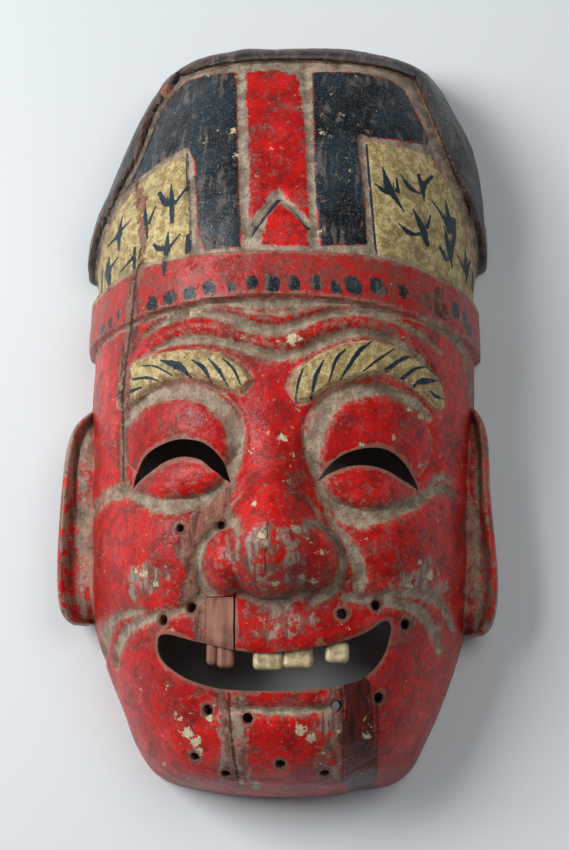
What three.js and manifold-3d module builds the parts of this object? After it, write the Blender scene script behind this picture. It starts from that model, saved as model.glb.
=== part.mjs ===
// A carved and painted wooden theatre mask: a laughing old man in a stiff hat, cut from one block of wood.
// The mask lies on its flat back rim, face up. +X is the viewer's right, +Y runs from the chin to the top of
// the hat, and +Z rises from the floor to the tip of the nose. The origin is the middle of the rim, on the floor.
// Two pieces: the mask itself, and a small repair strip with two teeth that is let into the upper lip.

import * as THREE from "three";
import { mergeVertices } from "three/addons/utils/BufferGeometryUtils.js";
import Module from "manifold-3d";

const wasm = await Module();
wasm.setup();

// ---------------------------------------------------------------- driving dimensions, in millimetres

const HALF_LENGTH = 155; // half of 310, from the chin to the top of the hat
const HALF_WIDTH = 79; // half the width of the face, without the ears
const CROWN = 85; // height of the forehead over the floor
const WALL = 10; // thickness of the carved shell
const RIM_WALL = 10; // and of its back rim
const ROWS = 56; // steps from chin to hat top on the outside
const COLUMNS = 46; // steps from ear to ear on the outside
const INNER_SHARE = 0.5; // the smooth inside needs only half as many steps
const FIT_GAP = 0.3; // clearance around the repair strip
const CRACK = 0.7; // the open crack on its right
const HOLE_R = 1.85; // radius of the beard holes
const FLOOR_CUT = 6; // how far the cutting solids reach below the rim
const SECTION_POWER = 2.4; // squareness of an arched section: 2 is an ellipse
const CHIN_POWER = 3.2; // the chin
const HAT_POWER = 4; // and the top of the hat are squarer
const SWEEP_POWER = 2.2; // how late a section bends towards its ends

// The three guide lines that carry the carving, station by station from the chin to the top of the hat:
// the spine [y, z] over the middle, then the rim on the viewer's left [x, y] and right [x, y].
const STATIONS = [
  { spine: [-155, 0], left: [-42, -150.5], right: [44, -150] },
  { spine: [-154.5, 20], left: [-48, -148], right: [49, -147.5] },
  { spine: [-150, 44], left: [-53, -144], right: [54.5, -142] },
  { spine: [-138, 57], left: [-59.5, -134], right: [59.5, -132] },
  { spine: [-122, 66], left: [-65, -120], right: [65, -120] },
  { spine: [-100, 74], left: [-73.5, -99], right: [72.5, -99] },
  { spine: [-75, 79], left: [-79, -75], right: [78, -75] },
  { spine: [-40, 83], left: [-80, -40], right: [79, -40] },
  { spine: [0, 85], left: [-80, 0], right: [80, 0] },
  { spine: [30, 86], left: [-79, 30], right: [80, 30] },
  { spine: [50, 85], left: [-78.5, 50], right: [79.5, 50] },
  { spine: [76, 81], left: [-78.5, 75], right: [82, 76] },
  { spine: [110, 70], left: [-67.5, 108], right: [78.5, 111] },
  { spine: [141, 53], left: [-54.5, 134], right: [66, 138] },
  { spine: [147.5, 36], left: [-50, 141], right: [58.5, 147] },
  { spine: [150.5, 17], left: [-48.5, 143], right: [55.5, 149.5] },
  { spine: [151, 0], left: [-47, 144], right: [54, 150.5] },
];

// ---------------------------------------------------------------- small helpers

const clamp = (value, low, high) => Math.min(high, Math.max(low, value));

/** 0 below low, 1 above high, and an S between them. */
function ease(low, high, value) {
  const t = clamp((value - low) / (high - low), 0, 1);
  return t * t * (3 - 2 * t);
}

/** A rounded boss over an ellipse: its height at (x, y), 0 outside. */
function dome(x, y, { at, radius, height, power = 0.6 }) {
  const u = (x - at[0]) / radius[0];
  const v = (y - at[1]) / radius[1];
  return height * Math.pow(Math.max(0, 1 - u * u - v * v), power);
}

/** The larger of two heights, blended over a width, and nothing where both are nothing. */
function softMax(a, b, width) {
  const soft = Math.min(width, Math.max(a, b, 1e-6));
  const share = clamp(0.5 + (0.5 * (a - b)) / soft, 0, 1);
  return b + (a - b) * share + soft * share * (1 - share);
}

/** A smooth line through a few [x, value] points. */
function lineThrough(points) {
  const slope = (i) => {
    const before = points[Math.max(0, i - 1)];
    const after = points[Math.min(points.length - 1, i + 1)];
    return (after[1] - before[1]) / (after[0] - before[0]);
  };
  return (x) => {
    const held = clamp(x, points[0][0], points.at(-1)[0]);
    const i = Math.min(points.findLastIndex((p) => p[0] <= held), points.length - 2);
    const [x0, y0] = points[i];
    const [x1, y1] = points[i + 1];
    const step = x1 - x0;
    const t = (held - x0) / step;
    const swing = t * (1 - t) * step * ((1 - t) * slope(i) - t * slope(i + 1));
    return y0 + (y1 - y0) * t * t * (3 - 2 * t) + swing;
  };
}

/** A guide line read at any station, whole or between two. */
function guide(name, axis) {
  return lineThrough(STATIONS.map((station, i) => [i, station[name][axis]]));
}

const spineY = guide("spine", 0);
const spineZ = guide("spine", 1);
const leftX = guide("left", 0);
const leftY = guide("left", 1);
const rightX = guide("right", 0);
const rightY = guide("right", 1);

/** Stations that lie evenly along the spine. */
function evenStations(count) {
  const fine = 40 * STATIONS.length;
  const lengths = [0];
  for (let i = 1; i <= fine; i += 1) {
    const a = ((i - 1) / fine) * (STATIONS.length - 1);
    const b = (i / fine) * (STATIONS.length - 1);
    lengths.push(lengths[i - 1] + Math.hypot(spineY(b) - spineY(a), spineZ(b) - spineZ(a)));
  }
  return Array.from({ length: count + 1 }, (_, k) => {
    const wanted = (k / count) * lengths[fine];
    const i = clamp(lengths.findLastIndex((l) => l <= wanted), 0, fine - 1);
    const share = (wanted - lengths[i]) / (lengths[i + 1] - lengths[i]);
    return ((i + share) / fine) * (STATIONS.length - 1);
  });
}

// ---------------------------------------------------------------- the block before its features

/** Squareness of the section at a station. */
function sectionPower(station) {
  const towardsChin = ease(4.5, 1, station);
  const towardsHatTop = ease(11.5, 14.5, station);
  const squarer = (CHIN_POWER - SECTION_POWER) * towardsChin + (HAT_POWER - SECTION_POWER) * towardsHatTop;
  return SECTION_POWER + squarer;
}

/** A point of the smooth block. side runs from -1 at the left rim to 1 at the right rim. */
function block(station, side) {
  const out = Math.abs(side);
  const rimX = side < 0 ? leftX(station) : rightX(station);
  const rimY = side < 0 ? leftY(station) : rightY(station);
  const x = rimX * out;
  const y = spineY(station) + (rimY - spineY(station)) * Math.pow(out, SWEEP_POWER);
  const z = spineZ(station) * Math.sqrt(Math.max(0, 1 - Math.pow(out, sectionPower(station))));
  return new THREE.Vector3(x, y, z);
}

/** The block's outward direction there. */
function outward(station, side) {
  const nudge = 0.005;
  const v = clamp(station, 2 * nudge, STATIONS.length - 1 - 2 * nudge);
  const s = clamp(side, -1 + 2 * nudge, 1 - 2 * nudge);
  const along = block(v + nudge, s).sub(block(v - nudge, s));
  const across = block(v, s + nudge).sub(block(v, s - nudge));
  return across.cross(along).normalize();
}

// ---------------------------------------------------------------- features of the face and hat

const NOSE_BALL = { at: [-0.5, -64], radius: [21, 21], height: 24, power: 0.55 };
const NOSTRIL_LEFT = { at: [-17.5, -68.5], radius: [10.5, 12.5], height: 15, power: 0.5 };
const NOSTRIL_RIGHT = { at: [14.5, -66.5], radius: [10.5, 12.5], height: 15, power: 0.5 };
const CHEEKS = [
  { at: [-48, -62], radius: [27, 27], height: 6, power: 1.2 },
  { at: [47, -62], radius: [27, 27], height: 6, power: 1.2 },
];
const LIDS = [
  { at: [-37, -17], radius: [24.5, 19.5], height: 8, power: 0.7 },
  { at: [36, -18.5], radius: [24.5, 19.5], height: 8, power: 0.7 },
];
const EYEBALLS = [
  { at: [-38, -33], radius: [18.5, 9.5], height: 7, power: 0.6 },
  { at: [36.5, -36.5], radius: [18.5, 10], height: 7, power: 0.6 },
];
const SOCKETS = [
  { at: [-37.5, -22], radius: [29, 28], height: 5, power: 1 },
  { at: [36.5, -23.5], radius: [29, 28], height: 5, power: 1 },
];
const CHIN = { at: [2, -135], radius: [38, 14], height: 4, power: 1 };

/** Height of the nose above the face: a ridge that swells into a ball between two nostrils. */
function nose(x, y) {
  const down = ease(-12, -56, y);
  const ridgeSection = (1 + 13 * down) * Math.exp(-Math.pow(x / (8.5 + 3 * down), 2));
  const ridge = ridgeSection * ease(-84, -66, y) * ease(4, -16, y);
  const ball = dome(x, y, NOSE_BALL);
  const sides = Math.max(dome(x, y, NOSTRIL_LEFT), dome(x, y, NOSTRIL_RIGHT));
  return softMax(softMax(ridge, ball, 4), sides, 3);
}

/** The eyes: a hollow with the heavy upper lid and the lower eyeball bulging out of it. */
function eyes(x, y) {
  const at = x < 0 ? 0 : 1;
  const lid = dome(x, y, LIDS[at]);
  const ball = dome(x, y, EYEBALLS[at]);
  return softMax(lid, ball, 1.5) - dome(x, y, SOCKETS[at]);
}

// Each brow follows a middle line from temple to temple, and has a half width along it.
const browMiddle = lineThrough([
  [-66, 0], [-55, 9], [-38, 12], [-20, 7], [-9, -4], [4, -5], [18, 8], [40, 12.5], [56, 8], [66, -3],
]);
const browHalf = lineThrough([
  [-67, 2], [-50, 5.5], [-22, 6], [-9, 5], [-3, 1], [4, 3], [16, 6.5], [44, 7], [64, 3],
]);

/** The brows stand proud of the forehead as two flat bands. */
function brows(x, y) {
  const inside = browHalf(x) - Math.abs(y - browMiddle(x));
  const ends = ease(68, 65, Math.abs(x)) * ease(2, 5, Math.abs(x + 3));
  return 2.6 * ease(-1.5, 1, inside) * ends;
}

const bandTop = (x) => 53.7 - 7 * Math.pow(Math.abs(x) / 78, 3);
const bandFoot = (x) => 36.5 - 9.5 * Math.pow(Math.abs(x) / 78, 2.4);

/** The headband, a rounded strap across the forehead and round to the rim. */
function headband(x, y) {
  return 2.8 * ease(-1.5, 2, y - bandFoot(x)) * ease(-0.5, 1, bandTop(x) - y);
}

/** Two shallow waves of skin between the brows and the headband. */
function foreheadFolds(x, y) {
  const wave = 27 + 3.5 * Math.cos((x * Math.PI) / 34 + Math.PI) - 6 * Math.pow(Math.abs(x) / 66, 4);
  const fold = (offset) => Math.exp(-Math.pow((y - wave - offset) / 2.4, 2));
  return -1.6 * (fold(0) + fold(-10.5)) * ease(66, 54, Math.abs(x));
}

// The edges of the hat's flat front, as [y, x] up each side, and its top.
const panelLeft = lineThrough([[60, -79], [67, -75.8], [86, -67.2], [105, -58], [124, -52], [141, -41]]);
const panelRight = lineThrough([[60, 82], [71, 79.9], [81, 76.8], [99, 69.4], [123.5, 60], [141, 53.5]]);
const panelTop = (x) => 141.3 - 2.4 * Math.pow(Math.abs(x) / 50, 2);

/** The dark flap: a raised border round the hat's back edge, which ends in a step above the headband. */
function flap(x, y) {
  const past = x < 0 ? panelLeft(clamp(y, 60, 141)) - x : x - panelRight(clamp(y, 60, 141));
  const outside = Math.max(past, y - panelTop(x));
  return 4 * ease(-1, 1.5, outside) * ease(53, 60, y);
}

const stripMiddle = (y) => 2 - 4.2 * ease(56, 138, y);
const STRIP_HALF = 14.3; // the red strip with its two grooves

/** The flat front of the hat: two shallow grooves beside the middle strip. */
function hatGrooves(x, y) {
  const away = Math.abs(Math.abs(x - stripMiddle(y)) - STRIP_HALF);
  return -1.4 * Math.exp(-Math.pow(away / 1.8, 2)) * ease(54, 58, y) * ease(141, 136, y);
}

/** Lips, laugh lines and chin. */
function mouthAndChin(x, y) {
  const smile = -104 + 9 * Math.pow(x / 42, 2);
  const upperLip = Math.exp(-Math.pow((y - smile - 10) / 6, 2));
  const lowerLip = 0.8 * Math.exp(-Math.pow((y - smile + 12) / 4, 2));
  const lips = 1.8 * (upperLip + lowerLip) * ease(50, 36, Math.abs(x));
  const laughLine = -2 * Math.exp(-Math.pow((Math.hypot(x, y + 62) - 63) / 3, 2));
  const laughEnds = ease(-78, -88, y) * ease(38, 50, Math.abs(x)) * ease(74, 68, Math.abs(x));
  return lips + laughLine * laughEnds + dome(x, y, CHIN);
}

/** All the relief of the front, as a height over the smooth block. */
function relief(x, y) {
  const cheeks = Math.max(dome(x, y, CHEEKS[0]), dome(x, y, CHEEKS[1]));
  const face = softMax(nose(x, y), cheeks, 3) + eyes(x, y) + brows(x, y) + mouthAndChin(x, y);
  return face + foreheadFolds(x, y) + headband(x, y) + flap(x, y) + hatGrooves(x, y);
}

/** A point of the carved outside: the front is raised straight up, and the steep sides straight out. */
function carved(station, side) {
  const point = block(station, side);
  const normal = outward(station, side);
  const steep = ease(0.55, 0.3, normal.z);
  const direction = new THREE.Vector3(0, 0, 1).lerp(normal, steep).normalize();
  const onFloor = point.z < 0.01;
  const height = relief(point.x, point.y);
  point.addScaledVector(direction, height);
  point.z = onFloor ? 0 : Math.max(point.z, 0.6);
  return point;
}

// ---------------------------------------------------------------- closed solids

/** A solid from a grid of rows of points whose edges all lie on one flat base, closed by a fan below. */
function solidFromNet(rows) {
  const positions = rows.flat().flatMap((p) => p.toArray());
  const wide = rows[0].length;
  const index = [];
  for (let r = 0; r + 1 < rows.length; r += 1) {
    for (let c = 0; c + 1 < wide; c += 1) {
      const a = r * wide + c;
      index.push(a, a + 1, a + wide + 1, a, a + wide + 1, a + wide);
    }
  }
  const last = rows.length - 1;
  const edge = [];
  for (let c = 0; c < wide; c += 1) edge.push(c);
  for (let r = 1; r <= last; r += 1) edge.push(r * wide + wide - 1);
  for (let c = wide - 2; c >= 0; c -= 1) edge.push(last * wide + c);
  for (let r = last - 1; r > 0; r -= 1) edge.push(r * wide);
  const middle = positions.length / 3;
  positions.push(0, 0, rows[0][0].z);
  edge.forEach((from, i) => index.push(edge[(i + 1) % edge.length], from, middle));
  const geometry = new THREE.BufferGeometry();
  geometry.setAttribute("position", new THREE.Float32BufferAttribute(positions, 3));
  geometry.setIndex(index);
  return solid(geometry);
}

/** A three.js geometry as a manifold solid. */
function solid(geometry) {
  const bare = geometry.clone();
  bare.deleteAttribute("normal");
  bare.deleteAttribute("uv");
  const merged = mergeVertices(bare, 1e-3);
  const vertProperties = new Float32Array(merged.attributes.position.array);
  const triVerts = new Uint32Array(merged.index.array);
  return new wasm.Manifold(new wasm.Mesh({ numProp: 3, vertProperties, triVerts }));
}

/** And back again. */
function geometryOf(made) {
  const mesh = made.getMesh();
  const geometry = new THREE.BufferGeometry();
  geometry.setAttribute("position", new THREE.BufferAttribute(new Float32Array(mesh.vertProperties), 3));
  geometry.setIndex(new THREE.BufferAttribute(new Uint32Array(mesh.triVerts), 1));
  geometry.computeVertexNormals();
  return geometry;
}

/** An outline in plan, cut straight through from low to high. */
function prism(shape, low, high, curveSegments = 6) {
  const geometry = new THREE.ExtrudeGeometry(shape, { depth: high - low, bevelEnabled: false, curveSegments });
  return solid(geometry.translate(0, 0, low));
}

/** A shape whose edge runs along one smooth line and back along another. */
function shapeBetween(upper, lower, steps) {
  const along = (points) => new THREE.SplineCurve(points.map((p) => new THREE.Vector2(...p))).getPoints(steps);
  return new THREE.Shape([...along(upper), ...along(lower).slice(1, -1).reverse()]);
}

// ---------------------------------------------------------------- the shell: outside, inside, rim

/** Places across a section from -1 to 1, closer together towards the rims. */
function sides(count) {
  return Array.from({ length: count + 1 }, (_, i) => Math.sin(((i / count) * 2 - 1) * (Math.PI / 2)));
}

/** The carved outside, down to the floor. */
function outside() {
  const steps = sides(COLUMNS);
  return solidFromNet(evenStations(ROWS).map((station) => steps.map((side) => carved(station, side))));
}

/** The hollow: the smooth block, shrunk by the wall and run down through the rim. */
function hollow() {
  const rows = evenStations(Math.round(ROWS * INNER_SHARE)).map((station) =>
    sides(Math.round(COLUMNS * INNER_SHARE)).map((side) => {
      const point = block(station, side);
      point.x *= 1 - RIM_WALL / HALF_WIDTH;
      point.y *= 1 - RIM_WALL / HALF_LENGTH;
      const lowered = point.z * (1 - WALL / CROWN) - FLOOR_CUT * (1 - ease(0, 12, point.z));
      point.z = lowered < -FLOOR_CUT + 0.01 ? -FLOOR_CUT : lowered;
      return point;
    }),
  );
  return solidFromNet(rows);
}

// ---------------------------------------------------------------- ears

const EAR_STEPS = 16;
const EAR_DROOP = 5;
const LEFT_REACH = 91; // how far the ears reach from the middle of the face
const RIGHT_REACH = 88.4;

/** A long-lobed ear that stands off the side: a thick plate with a rolled outer edge and a groove inside it. */
function ear(mirror, top, bottom, outer) {
  const root = 70; // inside the wall, where the ear grows out of the block
  const ringAt = (i) => {
    const t = i / EAR_STEPS;
    const y = top + (bottom - top) * t;
    const round = Math.sqrt(1 - Math.pow(Math.abs(2 * t - 1), t < 0.5 ? 4 : 9));
    const reach = root + 4 + (outer(t) - root - 4) * (0.35 + 0.65 * round);
    const high = 11 + (17 + 2.5 * Math.sin(Math.PI * t)) * (0.35 + 0.65 * round);
    const low = 9 - 3 * round;
    const section = [
      [root, low], [reach - 5, low], [reach - 1, low + 5], [reach, high - 5],
      [reach - 1.6, high], [reach - 4, high - 0.6], [reach - 6.5, high - 5.5], [root, high - 6.5],
    ];
    const droop = EAR_DROOP * t * t; // the lobe hangs lower at its outer corner
    const drop = (x) => (droop * (x - root)) / (LEFT_REACH - root);
    return section.map(([x, z]) => new THREE.Vector3(mirror * x, y - drop(x), z));
  };
  const rings = Array.from({ length: EAR_STEPS + 1 }, (_, i) => ringAt(i));
  const around = rings[0].length;
  const positions = rings.flat().flatMap((p) => p.toArray());
  const index = [];
  for (let i = 0; i < EAR_STEPS; i += 1) {
    for (let k = 0; k < around; k += 1) {
      const a = i * around + k;
      const b = i * around + ((k + 1) % around);
      index.push(a, b, b + around, a, b + around, a + around);
    }
  }
  const last = EAR_STEPS * around;
  for (let k = 1; k + 1 < around; k += 1) {
    index.push(0, k + 1, k, last, last + k, last + k + 1);
  }
  if (mirror < 0) index.reverse();
  const geometry = new THREE.BufferGeometry();
  geometry.setAttribute("position", new THREE.Float32BufferAttribute(positions, 3));
  geometry.setIndex(index);
  return solid(geometry);
}

const leftEarReach = lineThrough([
  [0, 84], [0.1, 88], [0.35, 89.6], [0.7, LEFT_REACH], [1, LEFT_REACH - 0.5],
]);
const rightEarReach = lineThrough([
  [0, 83], [0.1, 85.2], [0.4, 85.6], [0.75, RIGHT_REACH], [1, RIGHT_REACH - 0.8],
]);

// ---------------------------------------------------------------- openings cut through the wall

const THROUGH_LOW = 30;
const THROUGH_HIGH = 120;

// Each opening is bounded by an upper line and a lower one, from the left corner to the right.
const leftEyeSlit = shapeBetween(
  [[-57, -36.5], [-51.4, -27.6], [-43, -22.3], [-35, -20.2], [-27, -22], [-20.5, -28], [-17, -37]],
  [[-57, -36.5], [-50, -32], [-43, -28], [-36, -26.6], [-29, -28], [-24, -32], [-17, -37]],
  12,
);
const rightEyeSlit = shapeBetween(
  [[16.5, -36], [21, -30.2], [27, -25.8], [34.7, -23.6], [42.5, -24.6], [49, -29], [55.5, -37]],
  [[16.5, -36], [22, -33], [29, -30.4], [36.5, -29.8], [43.5, -31.2], [49, -34], [55.5, -37]],
  12,
);
const mouthOpening = shapeBetween(
  [
    [-46, -98.5], [-41, -96], [-30, -98.6], [-15, -102.6], [-3, -104.4],
    [10, -102.8], [25, -98.6], [36, -93.4], [44.5, -90.5],
  ],
  [
    [-46, -98.5], [-41.5, -106], [-33, -111.6], [-20, -115.2], [-4, -116],
    [12, -115.4], [27, -114], [38.5, -107.5], [44.5, -90.5],
  ],
  16,
);

// The holes that held tufts of beard and moustache round the mouth, and one beside the nose, each [x, y].
const BEARD_HOLES = [
  [-32, -84.4], [-43.5, -88.6], [26, -86.7], [39, -83], [50.3, -89.3], [-26, -122.8], [-10.4, -126.2],
  [24, -121], [40, -117.5], [-31.7, -140.5], [-19.6, -147], [2, -143.3], [19, -146.5], [-36.4, -54.4],
];
const HOLE_DEPTH = 12; // from the surface

/** A hole drilled in square to the surface. It leans outwards at the sides and downwards on the chin. */
function drilled([x, y]) {
  const lean = (x * 0.4) / 78;
  const tip = (-y - 118) / 60;
  const drill = new THREE.CylinderGeometry(HOLE_R, HOLE_R, HOLE_DEPTH * 2, 8);
  drill.rotateX(Math.PI / 2 + clamp(tip, 0, 0.5));
  drill.rotateY(lean);
  return solid(drill.translate(x, y, surfaceHeight(x, y)));
}

/** Height of the carved outside over (x, y), found by walking the net. */
function surfaceHeight(x, y) {
  let best = null;
  let nearest = Infinity;
  const steps = sides(COLUMNS * 2);
  for (const station of evenStations(ROWS * 2)) {
    for (const side of steps) {
      const point = block(station, side);
      const distance = Math.hypot(point.x - x, point.y - y);
      if (distance < nearest) {
        nearest = distance;
        best = point.z + relief(point.x, point.y);
      }
    }
  }
  return best;
}

/** The two nostrils, drilled up into the underside of the nose. */
function nostril(x, y) {
  const cut = new THREE.SphereGeometry(1, 10, 8);
  cut.scale(5.5, 5, 3.6);
  return solid(cut.translate(x, y, 84));
}

// ---------------------------------------------------------------- teeth

const TOOTH_THICK = 6;
const LIP_ROOT = -97; // how far up behind the lip a tooth reaches
const LIP_LINE = -106; // everything above this line belongs to the upper lip

/** One tooth under the upper lip: a short rounded tongue that grows out of the wood behind the lip. */
function tooth({ left, right, tip, front }) {
  const corner = 1.6;
  const shape = new THREE.Shape();
  shape.moveTo(left, LIP_ROOT);
  shape.lineTo(left, tip + corner);
  shape.quadraticCurveTo(left, tip, left + corner, tip);
  shape.lineTo(right - corner, tip);
  shape.quadraticCurveTo(right, tip, right, tip + corner);
  shape.lineTo(right, LIP_ROOT);
  return prism(shape, front - TOOTH_THICK, front, 3);
}

const WOOD_TEETH = [
  { left: -8.3, right: 3.4, tip: -108, front: 72 },
  { left: 3.2, right: 14.9, tip: -107.4, front: 72 },
  { left: 19.4, right: 28.6, tip: -105, front: 71 },
];
const STRIP_TEETH = [
  { left: -27.2, right: -22.2, tip: -106.2, front: 71.5 },
  { left: -22.4, right: -15.6, tip: -107.2, front: 71.5 },
];

// ---------------------------------------------------------------- assembly

// The repair strip in the upper lip, in plan. It shows no lower than the lip line, but for its two teeth.
const STRIP_LEFT = -26.2;
const STRIP_RIGHT = -15.6;
const STRIP_TOP = -80.6;
const STRIP_FOOT = -118;
const POCKET_FOOT = -104; // the pocket is open into the mouth below this line

/** A plain plan rectangle, run through the wall. */
function slot(left, right, foot, top) {
  const shape = new THREE.Shape();
  shape.moveTo(left, foot).lineTo(right, foot).lineTo(right, top).lineTo(left, top);
  return prism(shape, THROUGH_LOW, THROUGH_HIGH, 1);
}

const join = (start, pieces) => pieces.reduce((made, piece) => made.add(piece), start);
const cut = (start, pieces) => pieces.reduce((made, piece) => made.subtract(piece), start);

const ears = [ear(-1, 3, -84, leftEarReach), ear(1, 5.5, -88, rightEarReach)];
const shell = join(outside(), ears).subtract(hollow());
const pierced = cut(shell, [
  prism(leftEyeSlit, THROUGH_LOW, THROUGH_HIGH),
  prism(rightEyeSlit, THROUGH_LOW, THROUGH_HIGH),
  prism(mouthOpening, THROUGH_LOW, THROUGH_HIGH),
  nostril(-13.5, -86),
  nostril(13.5, -85),
]);
const pocket = slot(STRIP_LEFT - FIT_GAP, STRIP_RIGHT + CRACK, POCKET_FOOT, STRIP_TOP + FIT_GAP);
const toothed = join(pierced, WOOD_TEETH.map(tooth));
const maskSolid = cut(toothed.subtract(pocket), BEARD_HOLES.map(drilled));

const stripOutline = slot(STRIP_LEFT, STRIP_RIGHT, STRIP_FOOT, STRIP_TOP);
const stripTeeth = STRIP_TEETH.map((shape) => tooth(shape).intersect(stripOutline));
const stripSolid = join(pierced.intersect(slot(STRIP_LEFT, STRIP_RIGHT, LIP_LINE, STRIP_TOP)), stripTeeth);

const redLacquer = new THREE.MeshStandardMaterial({ color: 0xa81c18, roughness: 0.55, metalness: 0 });
const bareWood = new THREE.MeshStandardMaterial({ color: 0x7d5046, roughness: 0.8, metalness: 0 });

function named(name, made, material) {
  const mesh = new THREE.Mesh(geometryOf(made), material);
  mesh.name = name;
  return mesh;
}

const mask = new THREE.Group();
mask.add(named("mask", maskSolid, redLacquer));
mask.add(named("lip_patch", stripSolid, bareWood));
mask.position.x = (LEFT_REACH - RIGHT_REACH) / 2; // the origin is the middle of the whole width, ears and all

export default mask;
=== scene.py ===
import math

import bmesh
import bpy
import numpy as np
from mathutils import Matrix, Vector, noise


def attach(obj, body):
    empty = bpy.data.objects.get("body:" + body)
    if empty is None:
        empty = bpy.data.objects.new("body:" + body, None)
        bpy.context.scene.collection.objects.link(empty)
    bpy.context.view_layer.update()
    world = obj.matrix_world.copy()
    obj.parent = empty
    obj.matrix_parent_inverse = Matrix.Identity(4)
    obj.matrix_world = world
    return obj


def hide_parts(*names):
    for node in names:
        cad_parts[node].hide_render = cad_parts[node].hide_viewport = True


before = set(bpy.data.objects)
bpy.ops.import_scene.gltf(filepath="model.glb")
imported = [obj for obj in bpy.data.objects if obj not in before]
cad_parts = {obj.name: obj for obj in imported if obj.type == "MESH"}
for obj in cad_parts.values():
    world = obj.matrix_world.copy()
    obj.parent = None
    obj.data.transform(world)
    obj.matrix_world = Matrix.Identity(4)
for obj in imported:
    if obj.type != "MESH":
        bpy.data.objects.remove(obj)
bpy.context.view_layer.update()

# ---------------------------------------------------------------- camera, light and floor
# The mask lies face up on a pale, smooth table top. One broad window light comes from the left and a little
# from the hat side, and a weak ceiling light fills the right. The camera looks down, ten degrees off upright.

MM = 0.001
ORIGIN_X = 1.3  # the middle of the face stands this far, in millimetres, to the right of the frame's origin

CAMERA_TILT = math.radians(80.0)
CAMERA_TURN = math.radians(2.234)
CAMERA_ROLL = math.radians(0.466)
CAMERA_DISTANCE = 0.950
CAMERA_LENS = 100.2
CAMERA_AIM = Vector(((2.16 + ORIGIN_X) * MM, -8.04 * MM, 45.0 * MM))
LIGHT_AIM = Vector((0.0, 0.0, 0.05))

backward = Vector((
    math.sin(CAMERA_TURN),
    -math.cos(CAMERA_TURN) * math.cos(CAMERA_TILT),
    math.sin(CAMERA_TILT),
)).normalized()
level = Vector((0, 1, 0)).cross(backward).normalized()
upright = backward.cross(level)
rightward = math.cos(CAMERA_ROLL) * level + math.sin(CAMERA_ROLL) * upright
upward = math.cos(CAMERA_ROLL) * upright - math.sin(CAMERA_ROLL) * level

camera_data = bpy.data.cameras.new("camera")
camera_data.lens = CAMERA_LENS
camera_data.sensor_width = 36.0
camera_data.clip_end = 20.0
camera = bpy.data.objects.new("camera", camera_data)
bpy.context.scene.collection.objects.link(camera)
camera_turned = Matrix((rightward, upward, backward)).transposed().to_4x4()
camera.matrix_world = Matrix.Translation(CAMERA_AIM + CAMERA_DISTANCE * backward) @ camera_turned
bpy.context.scene.camera = camera
bpy.context.scene.view_settings.view_transform = "Standard"


def soft_light(name, place, side, power, tint):
    """A square lamp of a given side in metres, which faces the mask."""
    bpy.ops.object.light_add(type="AREA", location=place)
    lamp = bpy.context.object
    lamp.name = name
    lamp.data.shape = "SQUARE"
    lamp.data.size = side
    lamp.data.energy = power
    lamp.data.color = tint
    lamp.rotation_euler = (LIGHT_AIM - Vector(place)).to_track_quat("-Z", "Y").to_euler()
    return lamp


soft_light("window", (-0.86, 0.3, 0.92), 0.7, 17.0, (1.0, 0.995, 0.99))
ceiling = soft_light("ceiling", (0.62, 0.4, 1.6), 1.0, 9.0, (1.0, 0.995, 0.98))
ceiling.visible_glossy = False

world = bpy.data.worlds.new("room")
world.use_nodes = True
world.node_tree.nodes["Background"].inputs["Color"].default_value = (0.80, 0.85, 0.90, 1.0)
world.node_tree.nodes["Background"].inputs["Strength"].default_value = 0.14
bpy.context.scene.world = world


def fresh_material(name):
    """An empty material, its node tree and its one Principled shader."""
    material = bpy.data.materials.new(name)
    material.use_nodes = True
    tree = material.node_tree
    tree.nodes.clear()
    output = tree.nodes.new("ShaderNodeOutputMaterial")
    surface = tree.nodes.new("ShaderNodeBsdfPrincipled")
    tree.links.new(surface.outputs["BSDF"], output.inputs["Surface"])
    return material, tree, surface


def add_node(tree, kind, wired, **settings):
    """A node with its settings, each input given as a plain value or as the socket that feeds it."""
    made = tree.nodes.new(kind)
    for name, value in settings.items():
        setattr(made, name, value)
    for key, value in wired.items():
        if isinstance(value, bpy.types.NodeSocket):
            tree.links.new(value, made.inputs[key])
        else:
            made.inputs[key].default_value = value
    return made


def speckle(tree, scale, detail=3.0, roughness=0.55, stretch=(1.0, 1.0, 1.0), offset=(0.0, 0.0, 0.0)):
    """Noise on the piece's own coordinates, 0 to 1, which can be moved, or drawn out along an axis."""
    place = tree.nodes.new("ShaderNodeTexCoord").outputs["Object"]
    mapped = add_node(tree, "ShaderNodeMapping", {"Vector": place, "Location": offset, "Scale": stretch})
    wired = {"Vector": mapped.outputs["Vector"], "Scale": scale, "Detail": detail, "Roughness": roughness}
    return add_node(tree, "ShaderNodeTexNoise", wired).outputs["Fac"]


def step_between(value, low, high, reach=1.0):
    """0 where the value is below low, reach where it is above high, and an S between."""
    wired = {"Value": value, "From Min": low, "From Max": high, "To Min": 0.0, "To Max": reach}
    made = add_node(value.id_data, "ShaderNodeMapRange", wired, interpolation_type="SMOOTHSTEP")
    return made.outputs["Result"]


def over(share, below, above):
    """One colour laid over another."""
    wired = {0: share, 6: below, 7: above}
    return add_node(share.id_data, "ShaderNodeMix", wired, data_type="RGBA").outputs[2]


def tint(colour):
    """A wired colour as it is, or one given in everyday 0 to 255 steps as the linear one of a shader."""
    if isinstance(colour, bpy.types.NodeSocket):
        return colour
    shares = [c / 255.0 for c in colour]
    return tuple(s / 12.92 if s <= 0.04045 else ((s + 0.055) / 1.055) ** 2.4 for s in shares) + (1.0,)


def mottle(base, pattern, low, high, second, reach=1.0):
    """A colour with a second one over it wherever a pattern is high."""
    return over(step_between(pattern, low, high, reach), tint(base), tint(second))


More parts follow.
